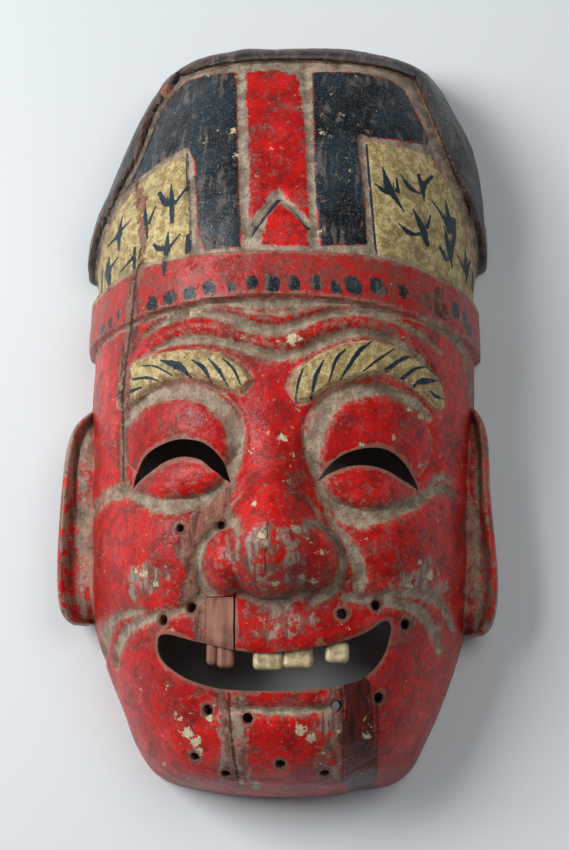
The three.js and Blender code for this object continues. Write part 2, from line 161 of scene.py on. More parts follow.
bpy.ops.object.select_all(action="DESELECT")
bpy.ops.mesh.primitive_plane_add(size=6.0, location=(0, 0, 0))
table_top = bpy.context.object
table_top.name = "table_top"
table_paint, table_tree, table_surface = fresh_material("table_paint")
clouded = mottle((216, 222, 225), speckle(table_tree, 2.0, 2.0), 0.35, 0.65, (222, 228, 231))
table_tree.links.new(clouded, table_surface.inputs["Base Color"])
table_surface.inputs["Roughness"].default_value = 0.42
table_top.data.materials.append(table_paint)

# ---------------------------------------------------------------- the carved block
# The whole mask is cut from one block of light wood: a stiff hat with a headband, a laughing old face and a
# flat sawn back rim. The block is first rounded off smoothly, section after section from chin to hat top.

# The guide lines that carry the carving, station by station from chin to hat top: the spine (y, z) over the
# middle, then the rim (x, y) on the left and on the right. Millimetres, from the middle of the face.
STATIONS = [
    ((-155, 0), (-42, -150.5), (44, -150)),
    ((-154.5, 20), (-48, -148), (49, -147.5)),
    ((-150, 44), (-53, -144), (54.5, -142)),
    ((-138, 57), (-59.5, -134), (59.5, -132)),
    ((-122, 66), (-65, -120), (65, -120)),
    ((-100, 74), (-73.5, -99), (72.5, -99)),
    ((-75, 79), (-79, -75), (78, -75)),
    ((-40, 83), (-80, -40), (79, -40)),
    ((0, 85), (-80, 0), (80, 0)),
    ((30, 86), (-79, 30), (80, 30)),
    ((50, 85), (-78.5, 50), (79.5, 50)),
    ((76, 81), (-78.5, 75), (82, 76)),
    ((110, 70), (-67.5, 108), (78.5, 111)),
    ((141, 53), (-54.5, 134), (66, 138)),
    ((147.5, 36), (-50, 141), (58.5, 147)),
    ((150.5, 17), (-48.5, 143), (55.5, 149.5)),
    ((151, 0), (-47, 144), (54, 150.5)),
]
LAST_STATION = len(STATIONS) - 1
SECTION_POWER = 2.4  # squareness of an arched section: 2 is an ellipse
CHIN_POWER = 3.2
HAT_POWER = 4.0
SWEEP_POWER = 2.2
NET_ROWS = 384
NET_COLUMNS = 216
SIDE_SHARE = 0.5  # the steep sides need only half as fine a net as the front
MIDDLE_STATION = 8.0


def ease(low, high, value):
    """0 below low, 1 above high, and an S between them."""
    t = np.clip((value - low) / (high - low), 0.0, 1.0)
    return t * t * (3.0 - 2.0 * t)


def line_through(points):
    """A smooth line through a few (x, value) points."""
    knots = np.array(points, float)
    slope = np.empty(len(knots))
    slope[1:-1] = (knots[2:, 1] - knots[:-2, 1]) / (knots[2:, 0] - knots[:-2, 0])
    slope[0] = (knots[1, 1] - knots[0, 1]) / (knots[1, 0] - knots[0, 0])
    slope[-1] = (knots[-1, 1] - knots[-2, 1]) / (knots[-1, 0] - knots[-2, 0])

    def read(x):
        held = np.clip(x, knots[0, 0], knots[-1, 0])
        i = np.clip(np.searchsorted(knots[:, 0], held, side="right") - 1, 0, len(knots) - 2)
        step = knots[i + 1, 0] - knots[i, 0]
        t = (held - knots[i, 0]) / step
        swing = t * (1 - t) * step * ((1 - t) * slope[i] - t * slope[i + 1])
        return knots[i, 1] + (knots[i + 1, 1] - knots[i, 1]) * t * t * (3 - 2 * t) + swing

    return read


def guide(line, axis):
    return line_through([(i, station[line][axis]) for i, station in enumerate(STATIONS)])


spine_y, spine_z = guide(0, 0), guide(0, 1)
left_x, left_y = guide(1, 0), guide(1, 1)
right_x, right_y = guide(2, 0), guide(2, 1)


def block(station, side):
    """Points of the smooth block. side runs from -1 at the left rim to 1 at the right rim."""
    out = np.abs(side)
    rim_x = np.where(side < 0, -left_x(station), right_x(station))
    rim_y = np.where(side < 0, left_y(station), right_y(station))
    towards_chin = (CHIN_POWER - SECTION_POWER) * ease(4.5, 1.0, station)
    towards_top = (HAT_POWER - SECTION_POWER) * ease(11.5, 14.5, station)
    x = rim_x * side
    y = spine_y(station) + (rim_y - spine_y(station)) * out**SWEEP_POWER
    fall = 1.0 - out ** (SECTION_POWER + towards_chin + towards_top)
    return np.stack([x, y, spine_z(station) * np.sqrt(np.maximum(0.0, fall))], axis=-1)


def outward(station, side):
    """The block's outward direction there."""
    nudge = 0.005
    v = np.clip(station, 2 * nudge, LAST_STATION - 2 * nudge)
    s = np.clip(side, -1 + 2 * nudge, 1 - 2 * nudge)
    along = block(v + nudge, s) - block(v - nudge, s)
    crosswise = block(v, s + nudge) - block(v, s - nudge)
    normal = np.cross(crosswise, along)
    return normal / np.linalg.norm(normal, axis=-1, keepdims=True)


def evenly(points, front_axis, count):
    """Shares 0 to 1 along a line of points, even where it faces the front and wider where it is steep."""
    steps = np.diff(points, axis=0)
    lengths = np.linalg.norm(steps, axis=1)
    facing = ease(0.3, 0.75, np.abs(steps[:, front_axis]) / lengths)
    weighed = np.concatenate([[0.0], np.cumsum(lengths * (SIDE_SHARE + (1 - SIDE_SHARE) * facing))])
    return np.interp(np.linspace(0, weighed[-1], count), weighed, np.linspace(0, 1, len(points)))


fine = np.linspace(0, 1, 4001)
spine = np.stack([np.zeros_like(fine), spine_y(fine * LAST_STATION), spine_z(fine * LAST_STATION)], axis=1)
station_steps = LAST_STATION * evenly(spine, 1, NET_ROWS)
arch_side = np.sin((fine * 2 - 1) * math.pi / 2)
arch = block(np.full_like(fine, MIDDLE_STATION), arch_side)
side_steps = np.interp(evenly(arch, 0, NET_COLUMNS), fine, arch_side)
station_steps[0], station_steps[-1] = 0.0, LAST_STATION
side_steps[0], side_steps[-1] = -1.0, 1.0

# ---------------------------------------------------------------- features of the face and the hat
# All of the same wood. Nose, lids, eyeballs, brows, cheeks, lips and chin are left standing proud of it. The
# folds, the laugh lines and the channels round the hat's panels are gouged with a narrow round chisel.

BAND_RISE = 2.8
BROW_RISE = 2.3
FLAP_RISE = 4.0
FLAP_ROUND = 0.9  # how far the flap falls again at its outer edge
HALF_LENGTH = 154.95  # the carving is trimmed here, at the chin and at the hat's top
HALF_FACE = 78  # half the width of the face, over which the headband sinks
HAT_FOOT = 60
HAT_TOP = 141


def dome(x, y, at, radius, height, power=0.6):
    """A rounded boss over an ellipse: its height at (x, y), 0 outside."""
    u = (x - at[0]) / radius[0]
    v = (y - at[1]) / radius[1]
    return height * np.maximum(0.0, 1 - u * u - v * v) ** power


def domes(x, y, left, right):
    """Two bosses, one on each side of the face."""
    return np.where(x < 0, dome(x, y, *left), dome(x, y, *right))


def soft_max(a, b, width):
    """The larger of two heights, blended over a width, and nothing where both are nothing."""
    soft = np.minimum(width, np.maximum(np.maximum(a, b), 1e-6))
    share = np.clip(0.5 + 0.5 * (a - b) / soft, 0, 1)
    return b + (a - b) * share + soft * share * (1 - share)


def nose(x, y):
    down = ease(-12, -56, y)
    ridge = (1 + 14 * down) * np.exp(-((x / (8.5 + 3 * down)) ** 2)) * ease(-82, -64, y) * ease(4, -16, y)
    softer_above = 0.5 + 0.4 * ease(-63, -49, y)
    ball = dome(x, y, (-0.5, -63), (20, np.where(y > -63, 27, 18.5)), 23.4, softer_above)
    wings = domes(x, y, ((-17.5, -67.5), (10.5, 12.5), 15, 0.5), ((14.5, -66), (10.5, 12.5), 15, 0.5))
    return soft_max(soft_max(ridge, ball, 9), wings, 2.5)


def eyes(x, y):
    lid = domes(x, y, ((-37, -17), (24.5, 19.5), 8, 0.7), ((36, -18.5), (24.5, 19.5), 8, 0.7))
    ball = domes(x, y, ((-38, -33), (18.5, 9.5), 7, 0.6), ((36.5, -36.5), (18.5, 10), 7, 0.6))
    socket = domes(x, y, ((-37.5, -22), (29, 28), 5, 1), ((36.5, -23.5), (29, 28), 5, 1))
    return soft_max(lid, ball, 1.0) - socket


def band_top(x):
    return 53.7 - 7 * (np.abs(x) / HALF_FACE) ** 3


def band_foot(x):
    return 34.7 - 8.6 * (np.abs(x) / HALF_FACE) ** 2


def headband(x, y):
    return BAND_RISE * ease(-0.7, 1.2, y - band_foot(x)) * ease(-0.4, 0.7, band_top(x) - y)


panel_left = line_through([(60, -79), (67, -75.8), (86, -67.2), (105, -58), (124, -52), (141, -41)])
panel_right = line_through([(60, 82), (71, 79.9), (81, 76.8), (99, 69.4), (123.5, 60), (141, 53.5)])


def past_panel(x, y):
    """How far a point lies outside the flat front of the hat, in millimetres: less than 0 is on the panel."""
    held = np.clip(y, HAT_FOOT, HAT_TOP)
    beside = np.where(x < 0, panel_left(held) - x, x - panel_right(held))
    above = y - (HAT_TOP + 0.3 - 2.4 * (np.abs(x) / 50) ** 2)
    return np.maximum(beside, above)


def flap(x, y):
    """The raised border round the hat's back edge, which ends in a step above the headband."""
    past = past_panel(x, y)
    return (FLAP_RISE * ease(-0.4, 0.9, past) - FLAP_ROUND * ease(3.0, 7.0, past)) * ease(53, HAT_FOOT, y)


BROW_LEFT = [
    (-64.5, -3), (-64, 7), (-58, 13.4), (-49, 15.4), (-37.4, 15.6), (-28.5, 15), (-19.9, 13), (-12.4, 7.4),
    (-8.6, 2.5), (-12.8, -2.5), (-19.8, -0.3), (-28.4, 3.2), (-35, 4.6), (-43.3, 4), (-49.5, 1.2),
    (-57.5, -3.4), (-61, -5.5),
]
BROW_RIGHT = [
    (5.2, 0.6), (8.8, 7.1), (16, 12), (26.3, 17.4), (37.7, 19.6), (47.1, 18.2), (56.7, 14.2), (62.1, 10.5),
    (65.6, 5.5), (66, -2.5), (62, -3.5), (57.7, 0.2), (52.4, 3.5), (48.7, 5.4), (41.9, 6.6), (34.6, 4.8),
    (27.9, 2.5), (21.2, 0.5), (17.6, -2.5), (13.5, -5.5), (8.5, -6.5),
]


def outside_of(points, corners):
    """Signed distance from a closed outline: less than 0 inside it."""
    ring = np.array(corners, float)
    nearest = np.full(len(points), 1e9)
    inside = np.zeros(len(points), bool)
    for a, b in zip(ring, np.roll(ring, -1, axis=0)):
        run = b - a
        share = np.clip((points - a) @ run / (run @ run), 0, 1)
        nearest = np.minimum(nearest, np.linalg.norm(points - a - share[:, None] * run, axis=1))
        crosses = (a[1] > points[:, 1]) != (b[1] > points[:, 1])
        reach = a[0] + (points[:, 1] - a[1]) * run[0] / (run[1] if abs(run[1]) > 1e-9 else 1e-9)
        inside ^= crosses & (points[:, 0] < reach)
    return np.where(inside, -nearest, nearest)


def trail(points, path, reach=9.0):
    """For the points near a drawn line of (x, y, half width): which they are, how far off it, on which side
    of it, and the line's half width beside them."""
    knots = np.array(path, float)
    t = np.linspace(0, len(knots) - 1, (len(knots) - 1) * 6 + 1)
    line = np.stack([line_through(list(enumerate(knots[:, k])))(t) for k in range(3)], axis=1)
    low = line[:, :2].min(axis=0) - reach
    high = line[:, :2].max(axis=0) + reach
    near = np.nonzero(((points > low) & (points < high)).all(axis=1))[0]
    p = points[near]
    off = np.full(len(p), reach)
    side = off.copy()
    half = np.full(len(p), knots[0, 2])
    for a, b in zip(line[:-1], line[1:]):
        run = b[:2] - a[:2]
        length = max(1e-6, float(np.hypot(*run)))
        share = np.clip((p - a[:2]) @ run / length**2, 0, 1)
        gap = p - a[:2] - share[:, None] * run
        distance = np.linalg.norm(gap, axis=1)
        closer = distance < off
        off = np.where(closer, distance, off)
        side = np.where(closer, (run[0] * gap[:, 1] - run[1] * gap[:, 0]) / length, side)
        half = np.where(closer, a[2] + (b[2] - a[2]) * share, half)
    return near, off, side, half


# Gouged lines as (x, y, half width), each with its depth. Old dirt has filled nearly all of them.
FOLDS = [
    # the forehead's waves
    (2.2, [
        (-52, 24.3, .6), (-45, 27.6, 1.2), (-36, 29.6, 1.6), (-27, 29.6, 1.9), (-18.5, 27, 2.2),
        (-10, 23.6, 2.3), (-1, 21.9, 2.3), (6, 23.4, 2.0), (13, 26, 1.7), (21, 28.9, 1.5),
        (31.4, 30.2, 1.2), (42, 29.4, 1.2), (50, 27.2, 1.1), (58, 24, 1.0), (64, 20.4, .6),
    ]),
    (2.3, [
        (-49, 17, .5), (-40, 19.4, 1.5), (-29, 19.3, 1.8), (-20, 17.5, 1.9), (-13, 15.4, 2.0),
        (-6, 13.2, 2.1), (1, 12, 2.2), (8, 12.9, 2.2), (14, 15.7, 2.0), (21, 19.1, 2.0), (29, 21.9, 1.8),
        (37, 22.4, 1.5), (44.5, 21.1, 1.4), (52.4, 18, 1.2), (58, 13.7, 1.0), (62, 9.9, .5),
    ]),
    (1.2, [
        (-52, 29.6, .5), (-40, 31.4, .7), (-28, 32.8, .8), (-15, 32.8, 1.3), (-2, 32.2, 1.8),
        (9.5, 32.6, 1.7), (21, 33.2, 1.0), (34, 32.6, .8), (48, 30.8, .6),
    ]),
    # short line between them
    (.5, [(-12, 29.6, .6), (-4, 28.6, 1.0), (6, 29.0, 1.0), (14, 31.4, .6)]),
    # at the right temple
    (1.2, [
        (56.7, 31.7, .7), (64.9, 29.3, 1.5), (72.3, 26.3, 1.7), (76.5, 20.3, 1.2), (78, 13, .8),
        (78.8, 4, .6),
    ]),
]
EYE_HOLLOWS = [
    # over the left and the right eye
    (1.9, [
        (-59.5, -9.8, 1.5), (-54.9, -4.9, 2.2), (-47.7, -1.8, 2.6), (-37.6, -0.8, 3.0), (-27.9, -3, 3.0),
        (-20.6, -8.5, 3.2), (-16.4, -14.6, 3.2), (-15, -22, 3.0), (-15.6, -30, 2.5), (-17.5, -35.5, 1.8),
    ]),
    (1.9, [
        (17.5, -35.9, 1.5), (14.8, -28.6, 2.5), (15, -21.9, 3.2), (17.5, -13.1, 3.6), (21, -7.2, 3.8),
        (27, -3, 3.2), (34.5, -0.7, 2.6), (43, 0.6, 2.2), (50, -1, 2.0), (56.4, -4.4, 1.6),
        (59.5, -8, 1.0),
    ]),
    # under the left and the right eye
    (2.0, [
        (-61, -36.5, 1.0), (-55, -40, 1.8), (-47, -44.5, 2.4), (-39.4, -46.2, 2.6), (-32.3, -45.2, 2.4),
        (-25.5, -42, 2.2), (-21, -38, 1.6),
    ]),
    (2.0, [
        (18, -39, 1.2), (23.5, -46, 2.6), (29.5, -50, 3.6), (38.5, -49.2, 3.0), (47.3, -46.2, 2.6),
        (55, -41, 2.4), (61, -36, 1.9), (66, -33.5, 1.2),
    ]),
]
SMALL_LINES = [
    # round the nose's wings
    (1.9, [
        (-12.9, -58.9, .9), (-14.3, -55.0, 2.0), (-17, -53.6, 2.0), (-20.5, -54.2, 1.6),
        (-24.8, -57.2, 1.4), (-28.4, -62, 1.5), (-29.4, -67, 1.6), (-28.8, -72.4, 1.6),
        (-26.5, -77.4, 1.6), (-22, -81.5, 1.2),
    ]),
    (1.9, [
        (11.6, -57.8, .8), (13.4, -54.8, 1.6), (16, -53.8, 1.6), (19.2, -55.2, 1.4), (23.4, -59.2, 1.3),
        (26, -64.8, 1.3), (26.2, -70.8, 1.5), (23.8, -76.4, 1.6), (19.8, -79.8, 1.6), (15, -82.5, 1.4),
    ]),
    (.5, [
        (16.5, -36.5, .7), (17.8, -42, .9), (20, -47.5, 1.0), (22.5, -52.5, 1.3), (27, -58, 1.8),
        (31, -65, 2.4), (33, -72, 2.6), (32, -79, 2.0),
    ]),
    # laugh lines, left
    (1.9, [
        (-29, -81.5, 1.5), (-36.6, -85.4, 1.5), (-49, -87.6, 1.5), (-58.5, -91.2, 2.2),
        (-63.8, -98.5, 1.6), (-65.4, -105, .6),
    ]),
    (1.9, [
        (-53, -84.6, .8), (-62.5, -85.8, 1.6), (-69.4, -90.6, 2.4), (-71.6, -98.6, 1.2), (-71.8, -101, .6),
    ]),
    # laugh lines, right
    (1.9, [(27.1, -80.3, 1.5), (42.4, -81.8, 1.8), (54.2, -83.5, 2.0), (62, -90.5, 2.0), (64.8, -99, .7)]),
    (1.7, [(40, -79.6, 1.3), (52.2, -77.8, 1.4), (63.5, -79, 2.0), (69.4, -88.5, .7)]),
    # crow's feet, left
    (1.0, [(-60, -37, 1.4), (-67.2, -35.6, 1.2), (-73.5, -38.4, 1.0), (-78, -43.5, .5)]),
    (.8, [(-62, -38.8, 1.0), (-69, -39.2, 1.0), (-74.2, -43.2, .5)]),
    # crow's feet, right
    (1.0, [(58, -37.5, 1.3), (64, -30.5, 1.2), (69, -30.1, .5)]),
    (.8, [(60, -38, 1.0), (66, -34.4, 1.2), (70.4, -36.4, .5)]),
    # across the chin
    (1.7, [(-14, -122.2, .7), (-4, -123.4, 1.3), (8, -123.4, 1.4), (18, -122.3, 1.2), (24.5, -120.6, .7)]),
]
PANEL_CHANNELS = [
    # beside the middle strip
    (1.2, [(-16.2, 138, 1.6), (-15.9, 120, 1.7), (-13.6, 80, 1.9), (-12.0, 56, 1.9)]),
    (1.2, [(10.4, 138, 1.7), (11.6, 108, 1.7), (13.8, 78, 1.6), (15.4, 56, 1.5)]),
    # round the left gold panel
    (1.1, [(-38.4, 101, 1.2), (-35.6, 88, 1.6), (-34.3, 74, 1.7), (-32.4, 56, 1.9)]),
    (.9, [(-38.6, 101, 1.0), (-48, 97, 1.1), (-58.5, 92, 1.1), (-64, 86, .8)]),
    # round the right gold panel
    (1.2, [(32.8, 105, 1.5), (34.4, 88, 1.7), (35.6, 76, 1.7), (37.2, 56, 1.8)]),
    (.9, [(33, 105.2, 1.0), (46, 104.3, 1.1), (61.5, 103.2, 1.1)]),
    # the pointed arch on the middle strip
    (1.1, [(-10.6, 61, 1.2), (-4.8, 70.5, 1.4), (0.4, 77.6, 1.4)]),
    (1.1, [(0.4, 77.6, 1.3), (6, 71.6, 1.2), (12.4, 64.4, 1.0)]),
]
# Rolls of skin left standing between the gouged lines: height, then (x, y, half width).
RIDGES = [
    # forehead
    (.9, [
        (-55, 16, 1.2), (-50, 20.6, 1.8), (-40, 24, 2.2), (-29, 24.6, 2.4), (-17, 21.3, 2.2),
        (-8, 17.6, 2.2), (1, 16.6, 2.2), (9, 18.3, 2.2), (20, 23.4, 2.2), (31, 26.2, 2.0), (42, 25.4, 2.0),
        (52, 22.2, 2.0), (61, 15.8, 1.6),
    ]),
    (.6, [
        (-48, 29, .8), (-38, 32.2, 1.0), (-27, 32.8, 1.0), (-17, 30, 1.1), (-6, 26.6, 1.1), (6, 27.8, 1.1),
        (16, 31.6, 1.1), (31, 33.2, .9),
    ]),
    (.6, [
        (-46, 15.9, .7), (-33, 16.7, .8), (-20, 14.6, .9), (-8, 10.8, 1.0), (1, 9.4, 1.2), (10, 10.8, 1.0),
    ]),
    # under the mouth
    (1.0, [(-18, -118.6, 1.4), (-6, -119.6, 1.8), (8, -119.8, 1.9), (20, -118.8, 1.6), (26, -117.4, 1.0)]),
    # upper lip
    (.9, [
        (-44, -93.4, 1.2), (-34, -93.2, 1.6), (-24, -96.6, 1.8), (-10, -98.8, 2.0), (2, -99.6, 2.0),
        (14, -97.6, 2.0), (28, -93.8, 1.8), (40, -88.6, 1.2),
    ]),
]
# Wide shallow places: depth, then (x, y, half width).
SUNK = [
    # the worn crack in the forehead
    (.8, [
        (-57.5, 43, 2.0), (-58, 32.5, 2.4), (-59.5, 24.3, 2.4), (-61.5, 15.9, 2.2), (-61.3, 6.4, 2.2),
        (-60.5, -2.6, 2.2), (-61.4, -11.7, 1.6), (-61, -30, 1.4),
    ]),
    # the groove under the nose
    (.9, [(-2, -86, 5), (-3, -93, 5.5), (-4, -99, 5)]),
    # repairs in the chin
    (1.0, [(32, -113.5, 3.6), (32.6, -122, 4.2), (32.6, -136, 5), (33, -149, 5)]),
    (.4, [(-21, -116, 2.2), (-18.5, -130, 2.0), (-15.5, -148, 2.2)]),
]


def mouth_and_chin(x, y):
    smile = -104 + 9 * (x / 42) ** 2
    roll = np.exp(-(((y - smile - 10) / 6) ** 2)) + 0.8 * np.exp(-(((y - smile + 12) / 4) ** 2))
    lips = 1.8 * roll * ease(50, 36, np.abs(x))
    return lips + dome(x, y, (2, -135), (38, 14), 4, 1)


def relief(x, y):
    """All the carving of the front, as a height over the smooth block, in millimetres."""
    cheeks = domes(x, y, ((-48, -62), (27, 27), 6, 1.2), ((47, -62), (27, 27), 6, 1.2))
    height = soft_max(nose(x, y), cheeks, 3) + eyes(x, y) + mouth_and_chin(x, y) + headband(x, y) + flap(x, y)
    flat = np.stack([x.ravel(), y.ravel()], axis=1)
    change = np.zeros(len(flat))
    for outline in (BROW_LEFT, BROW_RIGHT):
        change += BROW_RISE * ease(0.6, -1.4, outside_of(flat, outline))
    for depth, path in FOLDS + EYE_HOLLOWS + SMALL_LINES + PANEL_CHANNELS:
        near, off, _, half = trail(flat, path)
        change[near] -= depth * np.exp(-((off / (1.05 * half + 0.25)) ** 2))
    for rise, path in RIDGES + [(-depth, path) for depth, path in SUNK]:
        near, off, _, half = trail(flat, path, 14.0)
        change[near] += rise * np.exp(-((off / (1.15 * half)) ** 2))
    return height + change.reshape(x.shape)


def uneven(points):
    """The slight waviness that a knife leaves, in millimetres, the same on every run."""
    wave = [0.55 * noise.noise(Vector(p) / 13.0) + 0.2 * noise.noise(Vector(p) / 4.0) for p in points]
    return np.array(wave)


rows, columns = np.meshgrid(station_steps, side_steps, indexing="ij")
net = block(rows, columns)
lean = outward(rows, columns)
steep = ease(0.55, 0.3, lean[..., 2])[..., None]
lift = (1 - steep) * np.array([0.0, 0.0, 1.0]) + steep * lean
lift /= np.linalg.norm(lift, axis=-1, keepdims=True)
on_floor = net[..., 2] < 0.01
waves = uneven(net.reshape(-1, 3)).reshape(rows.shape) * ease(2.0, 14.0, net[..., 2])
net = net + lift * (relief(net[..., 0], net[..., 1]) + waves)[..., None]
net[..., 1] = np.clip(net[..., 1], -HALF_LENGTH, HALF_LENGTH)
net[..., 2] = np.where(on_floor, 0.0, np.maximum(net[..., 2], 0.6))


def into_frame(points):
    """From millimetres about the middle of the face to metres in the frame."""
    return (np.asarray(points, float) + (ORIGIN_X, 0, 0)) * MM


def sheet_of_net(name, points):
    """A grid primitive with a corner for every point of a net, pulled into its shape."""
    tall, wide = points.shape[:2]
    bpy.ops.object.select_all(action="DESELECT")
    bpy.ops.mesh.primitive_grid_add(x_subdivisions=wide - 1, y_subdivisions=tall - 1, size=1.0)
    made = bpy.context.object
    made.name = name
    made.data.vertices.foreach_set("co", into_frame(points.reshape(-1, 3)).ravel())
    made.data.update()
    return made


def close_openings(made):
    """Fills every open edge loop of a mesh with one face, and turns all the faces outwards."""
    bpy.context.view_layer.objects.active = made
    bpy.ops.object.mode_set(mode="EDIT")
    bpy.ops.mesh.select_mode(type="VERT")
    bpy.ops.mesh.select_all(action="SELECT")
    bpy.ops.mesh.remove_doubles(threshold=1e-6)
    bpy.ops.mesh.select_all(action="DESELECT")
    bpy.ops.mesh.select_non_manifold(extend=False)
    bpy.ops.mesh.edge_face_add()
    bpy.ops.mesh.select_all(action="SELECT")
    bpy.ops.mesh.normals_make_consistent(inside=False)
    if bmesh.from_edit_mesh(made.data).calc_volume(signed=True) < 0:
        bpy.ops.mesh.flip_normals()
    bpy.ops.object.mode_set(mode="OBJECT")


painted, tree, paint = fresh_material("painted_lacquer")
mask = sheet_of_net("carved_mask", net)
close_openings(mask)
mask.data.materials.append(painted)

# ---------------------------------------------------------------- ears
# Two long-lobed ears of the same block stand off its sides: a thick plate with a rolled outer edge, a deep
# groove inside that edge, and a short inner ridge near the top. They are carved and painted with the face.

EAR_ROOT = 70.0  # inside the wall, where an ear grows out of the block
EAR_NECK = 4.0  # the least that an ear stands out
EAR_DROOP = 5.0
EAR_RINGS = 72
EAR_ROUND = 40
LEFT_REACH = 91.0
RIGHT_REACH = 88.4


def carve(target, tool, operation):
    """Joins a closed mesh to another, or cuts one with the other, and throws the tool away."""
    for made in (target, tool):
        made.select_set(False)
    bpy.context.view_layer.objects.active = target
    change = target.modifiers.new(operation.lower(), "BOOLEAN")
    change.operation = operation
    change.solver = "MANIFOLD"
    change.object = tool
    bpy.ops.object.modifier_apply(modifier=change.name)
    bpy.data.objects.remove(tool)


def ear(name, mirror, top, bottom, reach_line):
    rings = []
    for t in np.linspace(0, 1, EAR_RINGS):
        around = math.sqrt(max(0.0, 1 - abs(2 * t - 1) ** (4 if t < 0.5 else 9)))
        spread = 0.35 + 0.65 * around
        reach = EAR_ROOT + EAR_NECK + (float(reach_line(t)) - 0.2 - EAR_ROOT - EAR_NECK) * spread
        high = 11 + (17 + 2.5 * math.sin(math.pi * t)) * spread
        low = 9 - 3 * around
        inner = 2.6 * float(ease(0.05, 0.15, t) * ease(0.5, 0.32, t))
        section = [
            (EAR_ROOT, low), (reach - 5, low), (reach - 1.2, low + 3.5), (reach, high - 5.5),
            (reach - 1.2, high - 0.6), (reach - 3.0, high - 0.9), (reach - 4.6, high - 6.0),
            (reach - 7.2, high - 6.4 + inner), (EAR_ROOT, high - 6.5),
        ]
        knots = list(enumerate(section + section[:1]))
        turn = np.linspace(0, len(section), EAR_ROUND + 1)
        x = line_through([(k, p[0]) for k, p in knots])(turn)
        z = line_through([(k, p[1]) for k, p in knots])(turn)
        y = top + (bottom - top) * t - EAR_DROOP * t * t * (x - EAR_ROOT) / (LEFT_REACH - EAR_ROOT)
        rings.append(np.stack([mirror * x, y, z], axis=1))
    made = sheet_of_net(name, np.array(rings))
    close_openings(made)
    made.data.materials.append(painted)
    return made


left_reach = line_through([(0, 84), (0.1, 88), (0.35, 89.6), (0.7, LEFT_REACH), (1, LEFT_REACH - 0.5)])
right_reach = line_through([(0, 83), (0.1, 85.2), (0.4, 85.6), (0.75, RIGHT_REACH), (1, RIGHT_REACH - 0.8)])
carve(mask, ear("left_ear", -1, 3, -84, left_reach), "UNION")
carve(mask, ear("right_ear", 1, 5.5, -88, right_reach), "UNION")

# ---------------------------------------------------------------- the hollow and the openings
# The back is hollowed with a gouge to a wall about a centimetre thick. Slits to look through lie under the
# upper lids, the laughing mouth is cut right through, and the nostrils are bored. The cut wood is never
# painted, and it has gone brown with age and handling.

WALL = 10.0
BLOCK_WIDE, BLOCK_LONG, BLOCK_DEEP = 79.0, 155.0, 85.0  # half the width, half the length, and the depth
FLOOR_CUT = 6.0  # how far the cutting shapes reach below the rim
HOLLOW_ROWS = 56
HOLLOW_COLUMNS = 44
SHELL_LOW = 30.0
SHELL_HIGH = 120.0
EYE_EDGE = 82.0  # the height of an opening's front edge, behind which it is undercut
MOUTH_EDGE = 70.0
NOSTRILS = ((-14.5, -82.6, 84.0), (13.0, -82.0, 84.0))
NOSTRIL_SIZE = (6.2, 4.6, 5.0)

worn_wood, wood_tree, wood = fresh_material("worn_wood")
grain = speckle(wood_tree, 240.0, 4.0, 0.6, stretch=(1.0, 0.12, 0.35))
aged = mottle((164, 112, 92), grain, 0.35, 0.66, (112, 72, 60))
aged = mottle(aged, speckle(wood_tree, 60.0, 4.0, 0.6), 0.45, 0.7, (128, 98, 84), 0.6)
wood_tree.links.new(aged, wood.inputs["Base Color"])
wood.inputs["Roughness"].default_value = 0.72
wood_bump = add_node(wood_tree, "ShaderNodeBump", {"Height": grain, "Strength": 0.6, "Distance": 0.6 * MM})
wood_tree.links.new(wood_bump.outputs["Normal"], wood.inputs["Normal"])
mask.data.materials.append(worn_wood)

hollow_side = np.sin(np.linspace(-1, 1, HOLLOW_COLUMNS) * math.pi / 2)
even_steps = np.interp(np.linspace(0, 1, HOLLOW_ROWS), np.linspace(0, 1, NET_ROWS), station_steps)
inner_rows, inner_columns = np.meshgrid(even_steps, hollow_side, indexing="ij")
inner = block(inner_rows, inner_columns)
inner_waves = uneven(inner.reshape(-1, 3) + 40.0).reshape(inner_rows.shape) * 1.6
inner *= (1 - WALL / BLOCK_WIDE, 1 - WALL / BLOCK_LONG, 1.0)
inner_z = inner[..., 2]
below_rim = FLOOR_CUT * (1 - ease(0, 12, inner_z))
sunk = inner_z * (1 - WALL / BLOCK_DEEP) - below_rim + inner_waves * ease(8, 20, inner_z)
inner[..., 2] = np.where(sunk < -FLOOR_CUT + 0.01, -FLOOR_CUT, sunk)
hollow = sheet_of_net("hollow", inner)
close_openings(hollow)
hollow.data.materials.append(worn_wood)
carve(mask, hollow, "DIFFERENCE")


def smooth_run(points, steps):
    """A smooth line through plan points, as an array of steps + 1 of them."""
    t = np.linspace(0, len(points) - 1, steps + 1)
    return np.stack([line_through([(i, p[k]) for i, p in enumerate(points)])(t) for k in (0, 1)], axis=1)


def through_cut(name, upper, lower, edge_height, steps=40):
    """A closed upright shape between two lines in plan, which is undercut behind the upper edge."""
    top_line = smooth_run(upper, steps)
    undercut = 0.3 * (edge_height - SHELL_LOW) * np.sin(np.linspace(0, math.pi, steps + 1)) ** 0.5
    levels = []
    for z, shift in ((SHELL_LOW, undercut), (edge_height, 0.0), (SHELL_HIGH, 0.0)):
        moved = np.column_stack([top_line[:, 0], top_line[:, 1] + shift])
        ring = np.concatenate([moved, smooth_run(lower, steps)[::-1][1:]])
        levels.append(np.column_stack([ring, np.full(len(ring), z)]))
    made = sheet_of_net(name, np.array(levels))
    close_openings(made)
    made.data.materials.append(worn_wood)
    return made


